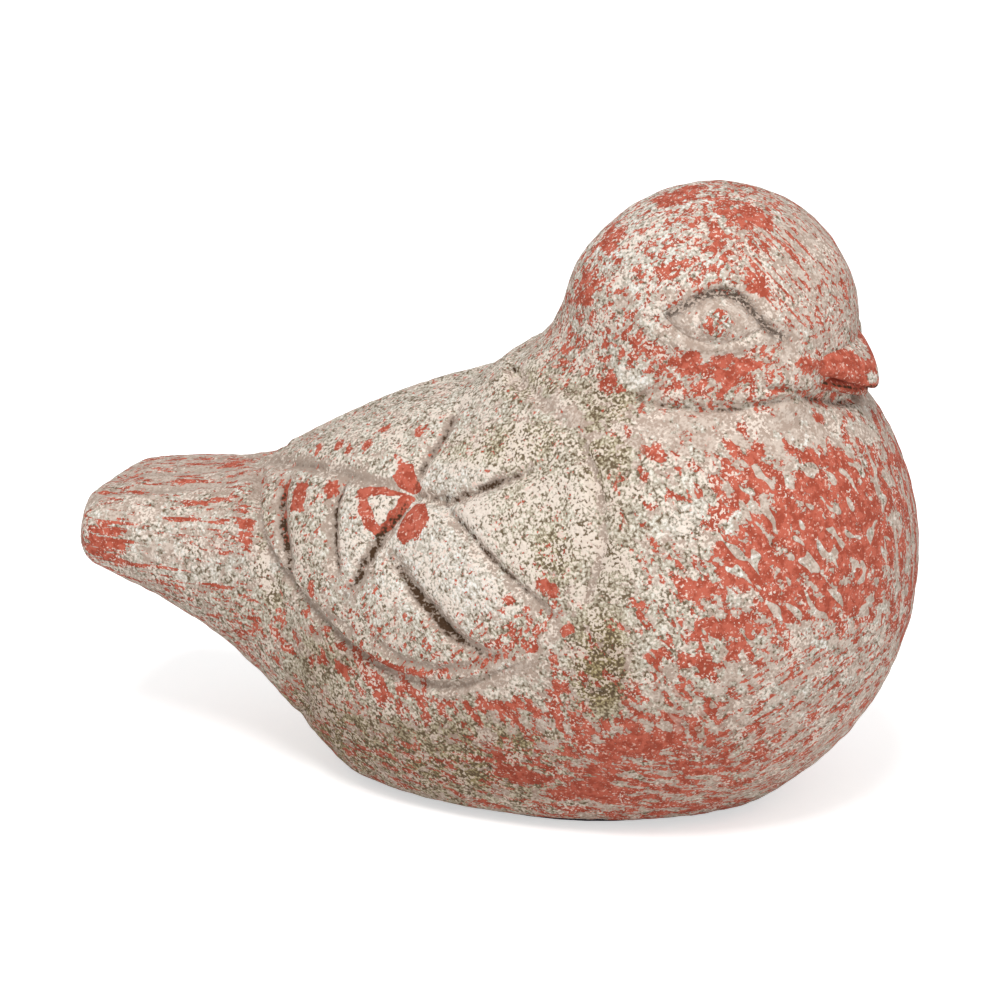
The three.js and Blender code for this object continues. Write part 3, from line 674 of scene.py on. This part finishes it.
# Flakes off the wing with sharp edges, and the scrap of wash that is left in one.
BARE_SHAPES = [
    [(356, 489), (367, 485), (385, 486), (409, 495), (396, 514), (385, 528), (374, 536), (365, 528),
     (358, 507)],
    [(398, 522), (405, 507), (413, 502), (421, 502), (428, 517), (424, 530), (417, 541), (410, 536),
     (403, 545), (396, 536)],
    [(395, 455), (402, 462), (414, 463), (413, 474), (418, 486), (408, 492), (397, 486), (391, 477),
     (398, 468)],
    [(297, 485), (308, 485), (306, 499), (298, 511), (289, 511), (293, 496)],
]
LEFT_SCRAPS = [[(368, 496), (385, 494), (398, 496), (390, 508), (376, 524), (371, 507)]]
# Lines where wear has let the red through: way, half width in pixels, and how much.
WORN_LINES = [
    ([(340, 645), (392, 666), (428, 673), (471, 669), (500, 655)], 5, 2.2),
    ([(330, 660), (370, 682), (410, 696), (440, 702)], 8, 1.0),
    ([(801, 364), (822, 366), (842, 370)], 6, 3.0),
    ([(284, 482), (279, 510), (281, 540)], 3, 3.5),
]
# Bare enough, or covered enough, that no cloud of the finish shows through.
ALL_BARE, ALL_COVERED = 4.5, -4.5


# Turns the share of a surface that a finish takes into what is added to a cloud of normal scores, so that
# the sum is over 0 on that share.
def spread(share):
    share = np.clip(share, 0.002, 0.998)
    return np.log(share / (1 - share)) / 1.702


start = dict(bare=0.22, grit=0.6, moss=0.1, dirt_and_shade=0.1)
finish = {key: np.full(len(p), value) for key, value in start.items()}
for at, half, turn, *values in PATCHES:
    within = oval(at, half, turn, 0.5)
    for key, value in zip(start, values):
        finish[key] = lerp(finish[key], value, within)
bare, grit, moss, dirt_and_shade = (finish[key] for key in start)
bare = spread(bare)
grit = spread(grit)

tail_zone = smooth(-points[:, 0], 42, 58)
shown_half = points[:, 1] < 2
above_eye = v < 400


# Small marks lie only on the side that the photograph shows.
def marks_at(marks, edge):
    return np.max([oval(*mark, edge) for mark in marks], axis=0) * shown_half


red_marks = marks_at(RED_MARKS, 0.35) * (1 - 0.45 * tail_zone) * (1 - 0.3 * above_eye)
white = marks_at(WHITE_MARKS, 0.35)
bare = lerp(bare, 2.2, red_marks)
bare = lerp(bare, -2.2, white)
for way, width, value in WORN_LINES:
    bare = bare + value * photo_line(way, width) * shown_half
grit = lerp(grit, 2.0, white)
moss = np.clip(moss + 0.38 * marks_at(MOSS_MARKS, 0.6) - 0.4 * white, 0, 1)
# The wash lies smooth and whole in the marks, on the lower lid and along the swell under the wing.
smear = 1.5 * photo_line(BELOW_WING, 8) * shown_half
bare = bare - 1.5 * groove - 2.4 * lower_lid - smear
grit = grit - 4.2 * groove - 1.5 * lower_lid - smear
ragged_u, ragged_v = u + 2.5 * noise(points, 2.5, 41), v + 2.5 * noise(points, 2.5, 42)
for shapes, value in ((BARE_SHAPES, ALL_BARE), (LEFT_SCRAPS, ALL_COVERED)):
    for ring in shapes:
        depth = polygon_distance(ragged_u, ragged_v, np.array(ring, float))
        bare = lerp(bare, value, smooth(depth, -1.2, 1.2) * shown_half)

head_zone = smooth(points[:, 2] - head["z"] + neck_seam["drop"], -2, 4) * (points[:, 0] > 15)
crusty = [oval((455, 545), (110, 105), 0, 0.6), 0.9 * oval((655, 255), (62, 64), 0, 0.5), 0.5 * white]
attributes = dict(
    bare=bare, grit=grit, moss=moss, dirt_and_shade=dirt_and_shade, groove=groove, shade=shade,
    lid_shade=np.maximum(lid_shade, photo_line(UPPER_LID, 6)),
    tail_zone=tail_zone, head_zone=head_zone,
    brow_zone=oval((815, 250), (70, 90), 0, 0.3),
    belly_zone=smooth(-points[:, 2], -36, -20) * (1 - tail_zone),
    sweep_zone=oval((820, 700), (110, 60), -25, 0.4),
    wing_zone=smooth(inward, -3, 3) * (1 - tail_zone),
    edge_zone=oval((912, 520), (36, 140), 0, 0.5),
    flaking=oval((790, 570), (170, 190), 0, 0.3) * (1 - head_zone),
    chalky=np.max(crusty, axis=0),
)

# Which piece each triangle belongs to.
middle = points[triangles].mean(axis=1)
neck_z = head["z"] - neck_seam["drop"]
fall, lean = math.radians(neck_seam["fall"]), math.radians(tail_seam["lean"])
above = (middle[:, 2] - neck_z) * math.cos(fall) + (middle[:, 0] - head["x"]) * math.sin(fall)
behind = (tail_seam["x"] - middle[:, 0]) * math.cos(lean) - (middle[:, 2] - tail_seam["z"]) * math.sin(lean)
in_head = (above > 0) & (middle[:, 0] > 10)
in_outline = polygon_distance(middle[:, 0], middle[:, 2], wing_ring) > 0
in_wing = in_outline & (np.abs(middle[:, 1]) > FROM_SPINE) & ~in_head
in_tail = (behind > 0) & ~in_wing
in_body = ~in_head & ~in_wing & ~in_tail


def add_piece(name, node, verts, faces, vertex_normals, values):
    mesh = bpy.data.meshes.new(name)
    mesh.from_pydata((verts * MM).tolist(), [], faces.tolist())
    mesh.polygons.foreach_set("use_smooth", np.ones(len(faces), bool))
    if vertex_normals is not None:
        mesh.normals_split_custom_set_from_vertices(vertex_normals.tolist())
    for key in attributes:
        layer = mesh.attributes.new(key, "FLOAT", "POINT")
        column = np.broadcast_to(values.get(key, 0), len(verts))
        layer.data.foreach_set("value", column.astype(np.float32))
    piece = bpy.data.objects.new(name, mesh)
    bpy.context.scene.collection.objects.link(piece)
    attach(piece, "root")
    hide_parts(node)
    return piece


# The part of the skin that belongs to one piece, with a wall of the given depth along its edge.
def skin_piece(name, which, node, depth):
    t = triangles[which]
    used, t = np.unique(t, return_inverse=True)
    t = t.reshape(-1, 3)
    edges = np.concatenate([t[:, [0, 1]], t[:, [1, 2]], t[:, [2, 0]]])
    pairs = set(map(tuple, edges.tolist()))
    rim = np.array([(a, b) for a, b in pairs if (b, a) not in pairs])
    rim_points = np.unique(rim)
    below = len(used) + np.searchsorted(rim_points, rim)
    walls = np.concatenate([np.stack([rim[:, 1], rim[:, 0], below[:, 0]], axis=1),
                            np.stack([rim[:, 1], below[:, 0], below[:, 1]], axis=1)])
    inner = points[used[rim_points]] - normals[used[rim_points]] * depth
    verts = np.concatenate([skin_points[used], inner])

    def both(values):
        return np.concatenate([values[used], values[used[rim_points]]])

    values = {key: both(column) for key, column in attributes.items()}
    return add_piece(name, node, verts, np.concatenate([t, walls]), both(skin_normals), values)


# A grid of points as faces, closed at the back by the same grid sunk in.
def closed_sheet(front, rear):
    rows, columns = front.shape[:2]
    number = np.arange(rows * columns).reshape(rows, columns)
    corners = [number[:-1, :-1], number[1:, :-1], number[1:, 1:], number[:-1, 1:]]
    quads = np.stack(corners, axis=-1).reshape(-1, 4)
    ring = np.concatenate([number[0, :-1], number[:-1, -1], number[-1, :0:-1], number[:0:-1, 0]])
    following = np.roll(ring, -1)
    count = rows * columns
    sides = np.stack([ring, following, following + count, ring + count], axis=1)
    faces = np.concatenate([quads, quads[:, ::-1] + count, sides])
    return np.concatenate([front.reshape(-1, 3), rear.reshape(-1, 3)]), faces


# The eye: an almond over the head's skin, with the iris as a low round button on it.
def eye_piece(name, node, side):
    a, b = np.meshgrid(np.linspace(-1, 1, 90), np.linspace(-1, 1, 44), indexing="ij")
    tilt = math.radians(eye["tilt"])
    along = a * eye["length"] / 2
    across = b * np.maximum(1 - a * a, 0.02) ** eye["pointed"] * eye["height"] / 2
    x = head["x"] + eye["ahead"] * head["length"] + along * math.cos(tilt) - across * math.sin(tilt)
    z = head["z"] + eye["up"] * head["height"] + along * math.sin(tilt) + across * math.cos(tilt)
    foot = on_skin(np.stack([x.ravel(), z.ravel()], axis=1))
    out = unit(slope(foot))
    dome = np.sqrt(np.clip(1 - a * a - b * b * 0.96, 0, 1)).ravel()
    spot = np.hypot(along - iris["ahead"], across + iris["down"]).ravel()
    round_edge = iris["diameter"] / 2
    button = smooth(-spot, -round_edge, -round_edge + 1.1)
    red_spot = smooth(-spot, -round_edge - 0.3, -round_edge + 1.8)
    lift = eye["dome"] * dome ** 1.3 - eye["sunk"] + iris["proud"] * button
    lift = lift - iris["hollow"] * smooth(-spot, -2, 0)
    jitter = foot * [1, side, 1]
    lift = lift + 0.12 * noise(jitter, 3, 21) + 0.06 * noise(jitter, 1.3, 22)
    front = (foot + out * lift[:, None]) * [1, -side, 1]
    rear = (foot - out * 3) * [1, -side, 1]
    verts, faces = closed_sheet(front.reshape(*a.shape, 3), rear.reshape(*a.shape, 3))
    if side < 0:
        faces = faces[:, ::-1]
    # Whole wash on the almond, worn clay on the iris, and painted shade under the upper lid.
    values = dict(bare=np.tile(lerp(-2.6, 0.35, red_spot), 2), grit=np.tile(lerp(-2.2, 1.2, red_spot), 2),
                  head_zone=1.0, wing_zone=1.0, lid_shade=photo_line(UPPER_LID, 6, in_photo(right_side(verts))))
    return add_piece(name, node, verts, faces, None, values)


# One half of the beak: a wide wedge with thick rolled edges.
def beak_half(half):
    steps, sides = 60, 120
    t = np.linspace(0, 1, steps)[:, None]
    turn = np.linspace(0, 2 * math.pi, sides, endpoint=False)[None, :]
    blunt = np.sqrt(np.maximum(0.004, 1 - t ** 7))
    across = lerp(beak["width"], beak["tip_width"], t) * blunt - 0.15
    tall = lerp(half["height"], half["tip_height"], t) * blunt - 0.1
    c, s = np.cos(turn), np.sin(turn)
    fall = lerp(beak["root_drop"], beak["tip_drop"], (t * half["share"]) ** beak["hook"])
    x = head["x"] + beak["root"] + beak["length"] * half["share"] * t + 0 * turn
    y = np.sign(c) * np.abs(c) ** 0.8 * across
    z = head["z"] - fall - half["drop"] + np.sign(s) * np.abs(s) ** 0.75 * tall * (1 - 0.22 * np.abs(c) ** 3)
    p = np.stack([x, y, z], axis=-1)
    flat = p.reshape(-1, 3)
    out = unit(p - p.mean(axis=1, keepdims=True)).reshape(-1, 3)
    flat = flat + out * (0.16 * noise(flat, 3.2, 31) + 0.08 * noise(flat, 1.2, 32))[:, None]
    number = np.arange(steps * sides).reshape(steps, sides)
    after = np.roll(number, -1, axis=1)
    quads = np.stack([number[:-1], after[:-1], after[1:], number[1:]], axis=-1).reshape(-1, 4)
    count = steps * sides
    middles = np.array([flat[number[0]].mean(axis=0), flat[number[-1]].mean(axis=0)])
    ends = [(count, b, a) for a, b in zip(number[0], after[0])]
    ends += [(count + 1, a, b) for a, b in zip(number[-1], after[-1])]
    return np.concatenate([flat, middles]), quads, np.array(ends)


def beak_piece():
    meshes = [beak_half(UPPER_HALF), beak_half(LOWER_HALF)]
    shift = len(meshes[0][0])
    verts = np.concatenate([meshes[0][0], meshes[1][0]])
    quads = np.concatenate([meshes[0][1], meshes[1][1] + shift])
    ends = np.concatenate([meshes[0][2], meshes[1][2] + shift])
    faces = np.concatenate([quads[:, [0, 1, 2]], quads[:, [0, 2, 3]], ends])
    # Bare red on the side, less so under the mouth, with wash along the ridge and a white chip at the tip.
    # Below the mouth line the lower half is darkened, and the line itself painted dark, both as painted
    # shade.
    pu, pv = in_photo(right_side(verts))
    ridge = np.interp(pu, [800, 842, 870, 876], [354, 346, 360, 366])
    mouth = np.interp(pu, [800, 857, 872], [378, 389, 386])
    worn = smooth(pv - ridge, -1, 5) * (1 - 0.6 * smooth(pv - mouth, 1, 5))
    tip = np.exp(-(np.hypot(pu - 872, pv - 377) / 6.5) ** 2)
    values = dict(bare=lerp(-0.9, 2.4, worn) - 4.5 * tip, grit=-0.6 + 3 * tip, head_zone=1.0, wing_zone=0.5,
                  dirt_and_shade=0.3 * smooth(pv - mouth, -1, 2), shade=0.95 * np.exp(-((pv - mouth) / 1.8) ** 2))
    return add_piece("bird_beak", "beak", verts, faces, None, values)


# An sRGB hex colour as linear light.
def linear(code):
    channels = [int(code[i:i + 2], 16) / 255 for i in (1, 3, 5)]
    return tuple(c / 12.92 if c <= 0.04045 else ((c + 0.055) / 1.055) ** 2.4 for c in channels) + (1,)


def empty_tree(owner):
    owner.use_nodes = True
    owner.node_tree.nodes.clear()
    return owner.node_tree


# Adds a node with its settings and links, and gives one of its outputs. An input goes by its name, or by
# i and its number.
def add(tree, kind, out=0, **inputs):
    node = tree.nodes.new("ShaderNode" + kind)
    for key, value in inputs.items():
        if hasattr(node, key):
            setattr(node, key, value)
            continue
        socket = node.inputs[int(key[1:])] if key[1:].isdigit() else node.inputs[key.replace("_", " ")]
        if isinstance(value, bpy.types.NodeSocket):
            tree.links.new(value, socket)
        else:
            socket.default_value = value
    return node.outputs[out] if len(node.outputs) else None


# Noise by its detail and roughness, with how far its values stray from their middle.
CLOUDS = dict(
    smooth=(0.0, 0.5, 0.124),
    soft=(1.0, 0.5, 0.093),
    plain=(2.0, 0.6, 0.078),
    rough=(3.0, 0.65, 0.069),
)
# The wash comes off in flakes, whose width and direction differ from place to place: their size in mm, at
# 4 pixels of the photograph to the mm, the cloud they are cut from, its shift, its turn and its stretch.
BREAST_FLAKES = (4.0, "soft", 5, -36, (0.6, 1, 1.25))
ZONE_FLAKES = dict(
    belly_zone=(3.2, "rough", 17, 8, (2.2, 2.2, 0.6)),
    sweep_zone=(2.3, "rough", 91, 56, (0.5, 1.6, 5)),
    edge_zone=(4.2, "rough", 103, 0, (1, 1, 3.4)),
    tail_zone=(2.6, "rough", 23, 0, (7, 0.8, 0.5)),
    head_zone=(2.1, "rough", 47, 42, (0.8, 1, 1.4)),
    brow_zone=(1.1, "plain", 83, -44, (0.6, 1.3, 11)),
    wing_zone=(1.7, "plain", 101, 35, (0.7, 1, 1.3)),
)
# The sand in the crust is 0.5 to 1 mm wide, and each grain of it shows.
GRAIN = 0.95


def make_clay(name):
    material = bpy.data.materials.new(name)
    put = partial(add, empty_tree(material))
    at = put("VectorMath", operation="SCALE", i0=put("TexCoord", "Object"), i3=1 / MM)
    amount = {key: put("Attribute", "Fac", attribute_name=key) for key in attributes}
    step = dict(interpolation_type="SMOOTHSTEP")

    # A sum of patterns, each times its weight.
    def weigh(*parts):
        total = 0.0
        for value, weight in parts:
            total = put("Math", operation="MULTIPLY_ADD", i0=value, i1=weight, i2=total)
        return total

    # Noise with features of the given size in mm, brought to a middle of 0 and a spread of 1.
    def cloud(size, kind, shift, turn=0.0, stretch=(1, 1, 1)):
        detail, rough, stray = CLOUDS[kind]
        turned = put("Mapping", vector_type="TEXTURE", i0=at, i1=(shift, shift, shift),
                     i2=(0, math.radians(turn), 0), i3=tuple(size * s for s in stretch))
        fac = put("TexNoise", "Fac", Vector=turned, Scale=1.0, Detail=detail, Roughness=rough)
        return put("Math", operation="MULTIPLY_ADD", i0=fac, i1=1 / stray, i2=-0.5 / stray)

    # Grit of 0.7 to 0.9 mm, clumps of it 2.4 mm wide, and single grains, which get the same spread.
    grain = cloud(0.7, "soft", 31)
    fine = cloud(0.9, "plain", 11)
    lumps = cloud(2.4, "rough", 61)
    from_middle = put("TexVoronoi", "Distance", Vector=at, Scale=1 / GRAIN)
    grain_tone = put("SeparateColor", i0=from_middle.node.outputs["Color"])
    single = put("Math", operation="MULTIPLY_ADD", i0=grain_tone, i1=3.46, i2=-1.73)
    edges = put("Math", operation="MULTIPLY_ADD", i0=from_middle, i1=5.5, i2=-2.4)

    # Where the red lies bare: where flakes have come off, and in dots between the grains on the wings.
    flakes = cloud(*BREAST_FLAKES)
    for zone, pattern in ZONE_FLAKES.items():
        flakes = put("Mix", i0=amount[zone], i2=flakes, i3=cloud(*pattern))
    ragged = weigh((flakes, 0.9), (fine, 0.44), (amount["bare"], 1.0))
    red = put("MapRange", **step, i0=ragged, i1=-0.1, i2=0.1)
    dots = put("MapRange", **step, i0=weigh((single, 1.0), (lumps, 0.2)), i1=1.72, i2=1.78)
    dots = put("Math", operation="MULTIPLY", i0=dots, i1=amount["wing_zone"])
    red = put("Math", operation="MAXIMUM", i0=red, i1=dots)
    # Scales of wash with smooth outlines, 3.6 mm wide, still cling to the breast.
    scales = put("MapRange", **step, i0=cloud(3.6, "smooth", 131, -34, (0.55, 1, 1.35)), i1=1.0, i2=1.16)
    scales = put("Math", operation="MULTIPLY", i0=scales, i1=amount["flaking"])
    red = put("Math", operation="MULTIPLY", i0=red, i1=put("Math", operation="SUBTRACT", i0=1.0, i1=scales))

    # Matt brick-red coat, a little paler where a film of wash is left on it.
    rubbed = put("MapRange", **step, i0=lumps, i1=-1.2, i2=1.2)
    reds = put("Mix", 2, data_type="RGBA", i0=rubbed, i6=linear("#a04936"), i7=linear("#bd624e"))
    film = put("MapRange", **step, i0=weigh((fine, 0.8), (grain, 0.6)), i1=0.9, i2=2.4)
    reds = put("Mix", 2, data_type="RGBA", i0=film, i6=reds, i7=linear("#d9a897"))

    # Thin greige limewash, smooth as dried slip, and browner and darker in the marks, partly as painted
    # shade.
    mottle = put("MapRange", **step, i0=weigh((grain, 0.5), (lumps, 0.5), (single, 0.25)), i1=-0.9, i2=0.9)
    wash = put("Mix", 2, data_type="RGBA", i0=mottle, i6=linear("#ad998b"), i7=linear("#cabaad"))
    wash_and_shade_in_marks = put("Math", operation="MULTIPLY", i0=amount["groove"], i1=0.6)
    wash = put("Mix", 2, data_type="RGBA", i0=wash_and_shade_in_marks, i6=wash, i7=linear("#9d8e81"))

    # Chalky crust: white and cream grains, with khaki and olive moss in the pores between them; the pores and
    # the edges of the grains are darker partly as painted shade. Where it was brushed on the wings, its
    # streaks are as wide as the grit.
    brushed = cloud(0.8, "plain", 53, -42, (0.6, 1, 3.5))
    brushed = put("Math", operation="MULTIPLY", i0=brushed, i1=amount["wing_zone"])
    mossy_grain = put("Math", operation="MULTIPLY", i0=grain, i1=amount["moss"])
    tone = weigh((grain, 0.45), (lumps, 0.3), (single, 0.32), (edges, -0.36), (brushed, 0.3),
                 (amount["moss"], -0.7), (amount["chalky"], 0.4), (mossy_grain, 0.4))
    chalk = linear("#94897b")
    for low, high, code in ((-1.1, -0.3, "#bdb4a6"), (-0.2, 1.4, "#e9e6e0")):
        paler = put("MapRange", **step, i0=tone, i1=low, i2=high)
        chalk = put("Mix", 2, data_type="RGBA", i0=paler, i6=chalk, i7=linear(code))
    green = put("Math", operation="MULTIPLY", i0=amount["moss"], i1=1.1)
    chalk = put("Mix", 2, data_type="RGBA", blend_type="MULTIPLY", i0=green, i6=chalk, i7=linear("#dfd7b0"))
    out_of_pores = put("MapRange", **step, i0=tone, i1=-1.65, i2=-1.1)
    chalk = put("Mix", 2, data_type="RGBA", i0=out_of_pores, i6=linear("#6d5d48"), i7=chalk)

    # The crust lies on the wash in patches 3.4 mm wide, and the red shows where both are gone.
    gritty = weigh((cloud(3.4, "rough", 71), 0.94), (fine, 0.34), (amount["grit"], 1.0))
    crust = put("MapRange", **step, i0=gritty, i1=-0.1, i2=0.1)
    cover = put("Mix", 2, data_type="RGBA", i0=crust, i6=wash, i7=chalk)
    colour = put("Mix", 2, data_type="RGBA", i0=red, i6=cover, i7=reds)
    # Loose grains of chalk lie in drifts 7 mm wide on the red.
    drifts = weigh((cloud(7, "soft", 19), 0.5), (single, 0.45), (grain, 0.72), (amount["grit"], 0.25),
                   (amount["bare"], -0.3))
    flour = put("MapRange", **step, i0=drifts, i1=1.35, i2=1.55)
    flour = put("Math", operation="MULTIPLY", i0=flour, i1=0.8)

    # Dark brown at the bottom of the marks, partly dirt and partly painted shade, broken up by the grit, and
    # painted shade in the pits, the creases and along the foot; painted shade under the lid; and a thin brown
    # film, partly dirt and partly painted shade.
    broken = weigh((cloud(1.8, "plain", 37), 0.25), (grain, 0.25))
    broken = put("Math", operation="MULTIPLY", i0=broken, i1=amount["shade"])
    dirt_and_painted_shade = put("MapRange", **step, i0=weigh((amount["shade"], 1.0), (broken, 1.0)), i1=0.25, i2=1.15)
    painted_lid_shade = put("MapRange", **step, i0=weigh((grain, 0.7), (fine, 0.5)), i1=-0.9, i2=0.5)
    painted_lid_shade = put("Math", operation="MULTIPLY", i0=amount["lid_shade"], i1=painted_lid_shade)
    for share, code, blend in ((flour, "#e6d7ca", "MIX"), (dirt_and_painted_shade, "#44301f", "MIX"),
                               (painted_lid_shade, "#5b4d43", "MIX"), (amount["dirt_and_shade"], "#a58d72", "MULTIPLY")):
        colour = put("Mix", 2, data_type="RGBA", blend_type=blend, i0=share, i6=colour, i7=linear(code))

    # In mm: the red lies 0.14 lower than the wash, and the grit is up to about 0.1 high.
    bump = put("Bump", Strength=0.8, Distance=MM, Height=weigh((red, -0.14), (tone, 0.065)))
    surface = put("BsdfPrincipled", Base_Color=colour, Roughness=0.92, IOR=1.5, Specular_IOR_Level=0.25,
                  Normal=bump)
    put("OutputMaterial", Surface=surface)
    return material


# A cloudy two-tone material with a rough surface, for parts without the bird's finish.
def make_plain(name, size, low, high, stretch, rough, bumpy):
    material = bpy.data.materials.new(name)
    put = partial(add, empty_tree(material))
    turned = put("Mapping", vector_type="TEXTURE", i0=put("TexCoord", "Object"), i2=(0.5, 0.3, 0.7),
                 i3=tuple(size * MM * s for s in stretch))
    cloudy = put("TexNoise", "Fac", Vector=turned, Scale=1.0, Detail=4.0, Roughness=0.65)
    share = put("MapRange", interpolation_type="SMOOTHSTEP", i0=cloudy, i1=0.36, i2=0.64)
    colour = put("Mix", 2, data_type="RGBA", i0=share, i6=linear(low), i7=linear(high))
    bump = put("Bump", Strength=bumpy, Distance=0.5 * MM, Height=cloudy)
    surface = put("BsdfPrincipled", Base_Color=colour, Roughness=rough, IOR=1.5, Specular_IOR_Level=0.25,
                  Normal=bump)
    put("OutputMaterial", Surface=surface)
    return material


# Fired clay, shaped by hand, with a brick-red coat, then limewashed and left in the weather: matt all
# over, plain red where it lies bare, smooth greige where the wash is thin, and gritty white where thick.
clay = make_clay("limewashed brick-red clay")
# Raw clay under the bird, smoothed wet: brick red, dusty, and darker in its pits, which are 1.4 mm wide.
raw_clay = make_plain("raw brick-red clay", 1.4, "#8d4a38", "#b98471", (1, 1, 1), 0.95, 1.0)
# Pressed grey-violet wool: short fibres show as a fine streaky mottle. A fibre is 0.03 mm thick, too fine
# to show, so what is drawn are bunches of them 0.35 mm thick.
wool = make_plain("grey wool felt", 0.35, "#3f3a40", "#6d6670", (1, 5, 1), 1.0, 0.8)

on_right = middle[:, 1] < 0
pieces = [
    skin_piece("bird_body", in_body, "body", SEAM_WALL),
    skin_piece("bird_head", in_head, "head", SEAM_WALL),
    skin_piece("bird_tail", in_tail, "tail", SEAM_WALL),
    skin_piece("bird_wing_right", in_wing & on_right, "wing_right", WING_BED),
    skin_piece("bird_wing_left", in_wing & ~on_right, "wing_left", WING_BED),
    eye_piece("bird_eye_right", "eye_right", 1),
    eye_piece("bird_eye_left", "eye_left", -1),
    beak_piece(),
]
for piece in pieces:
    piece.data.materials.append(clay)

for name, material in (("base_plate", raw_clay), ("felt", wool)):
    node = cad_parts[name]
    node.data.materials.clear()
    node.data.materials.append(material)

# A floor of matt white paper that shows nothing but the shadow, soft daylight from all round and a large
# lamp above.
floor_mesh = bpy.data.meshes.new("floor")
floor_mesh.from_pydata([(-4, -4, 0), (4, -4, 0), (4, 4, 0), (-4, 4, 0)], [], [(0, 1, 2, 3)])
floor = bpy.data.objects.new("floor", floor_mesh)
bpy.context.scene.collection.objects.link(floor)
paper = bpy.data.materials.new("white studio paper")
put = partial(add, empty_tree(paper))
matt = put("BsdfDiffuse", Color=linear("#f0f0f0"))
lit = put("AddShader", i0=matt, i1=put("Emission", Color=(1, 1, 1, 1), Strength=0.55))
put("OutputMaterial", Surface=put("MixShader", i0=put("LightPath", "Is Camera Ray"), i1=matt, i2=lit))
floor.data.materials.append(paper)

world = bpy.data.worlds.new("studio")
bpy.context.scene.world = world
put = partial(add, empty_tree(world))
daylight = put("Background", Color=(1, 1, 1, 1), Strength=0.53)
white = put("Background", Color=(1, 1, 1, 1), Strength=1.0)
put("OutputWorld", Surface=put("MixShader", i0=put("LightPath", "Is Camera Ray"), i1=daylight, i2=white))


def add_lamp(name, place, aim, size, power):
    data = bpy.data.lights.new(name, "AREA")
    data.shape = "DISK"
    data.size = size
    data.energy = power
    lamp = bpy.data.objects.new(name, data)
    lamp.location = place
    lamp.rotation_euler = (Vector(aim) - Vector(place)).to_track_quat("-Z", "Y").to_euler()
    bpy.context.scene.collection.objects.link(lamp)


add_lamp("key", (0.15, -0.75, 1.35), (0, 0, 0.06), 0.6, 14.5)
add_lamp("fill", (1.2, -0.9, 0.5), (0, 0, 0.06), 0.8, 4)

camera_data = bpy.data.cameras.new("camera")
camera_data.lens = LENS
camera_data.sensor_width = SENSOR
camera = bpy.data.objects.new("camera", camera_data)
camera.location = camera_place * MM
camera.rotation_euler = Vector(into_view).to_track_quat("-Z", "Y").to_euler()
bpy.context.scene.collection.objects.link(camera)
bpy.context.scene.camera = camera
bpy.context.scene.view_settings.view_transform = "Standard"

bpy.context.view_layer.update()
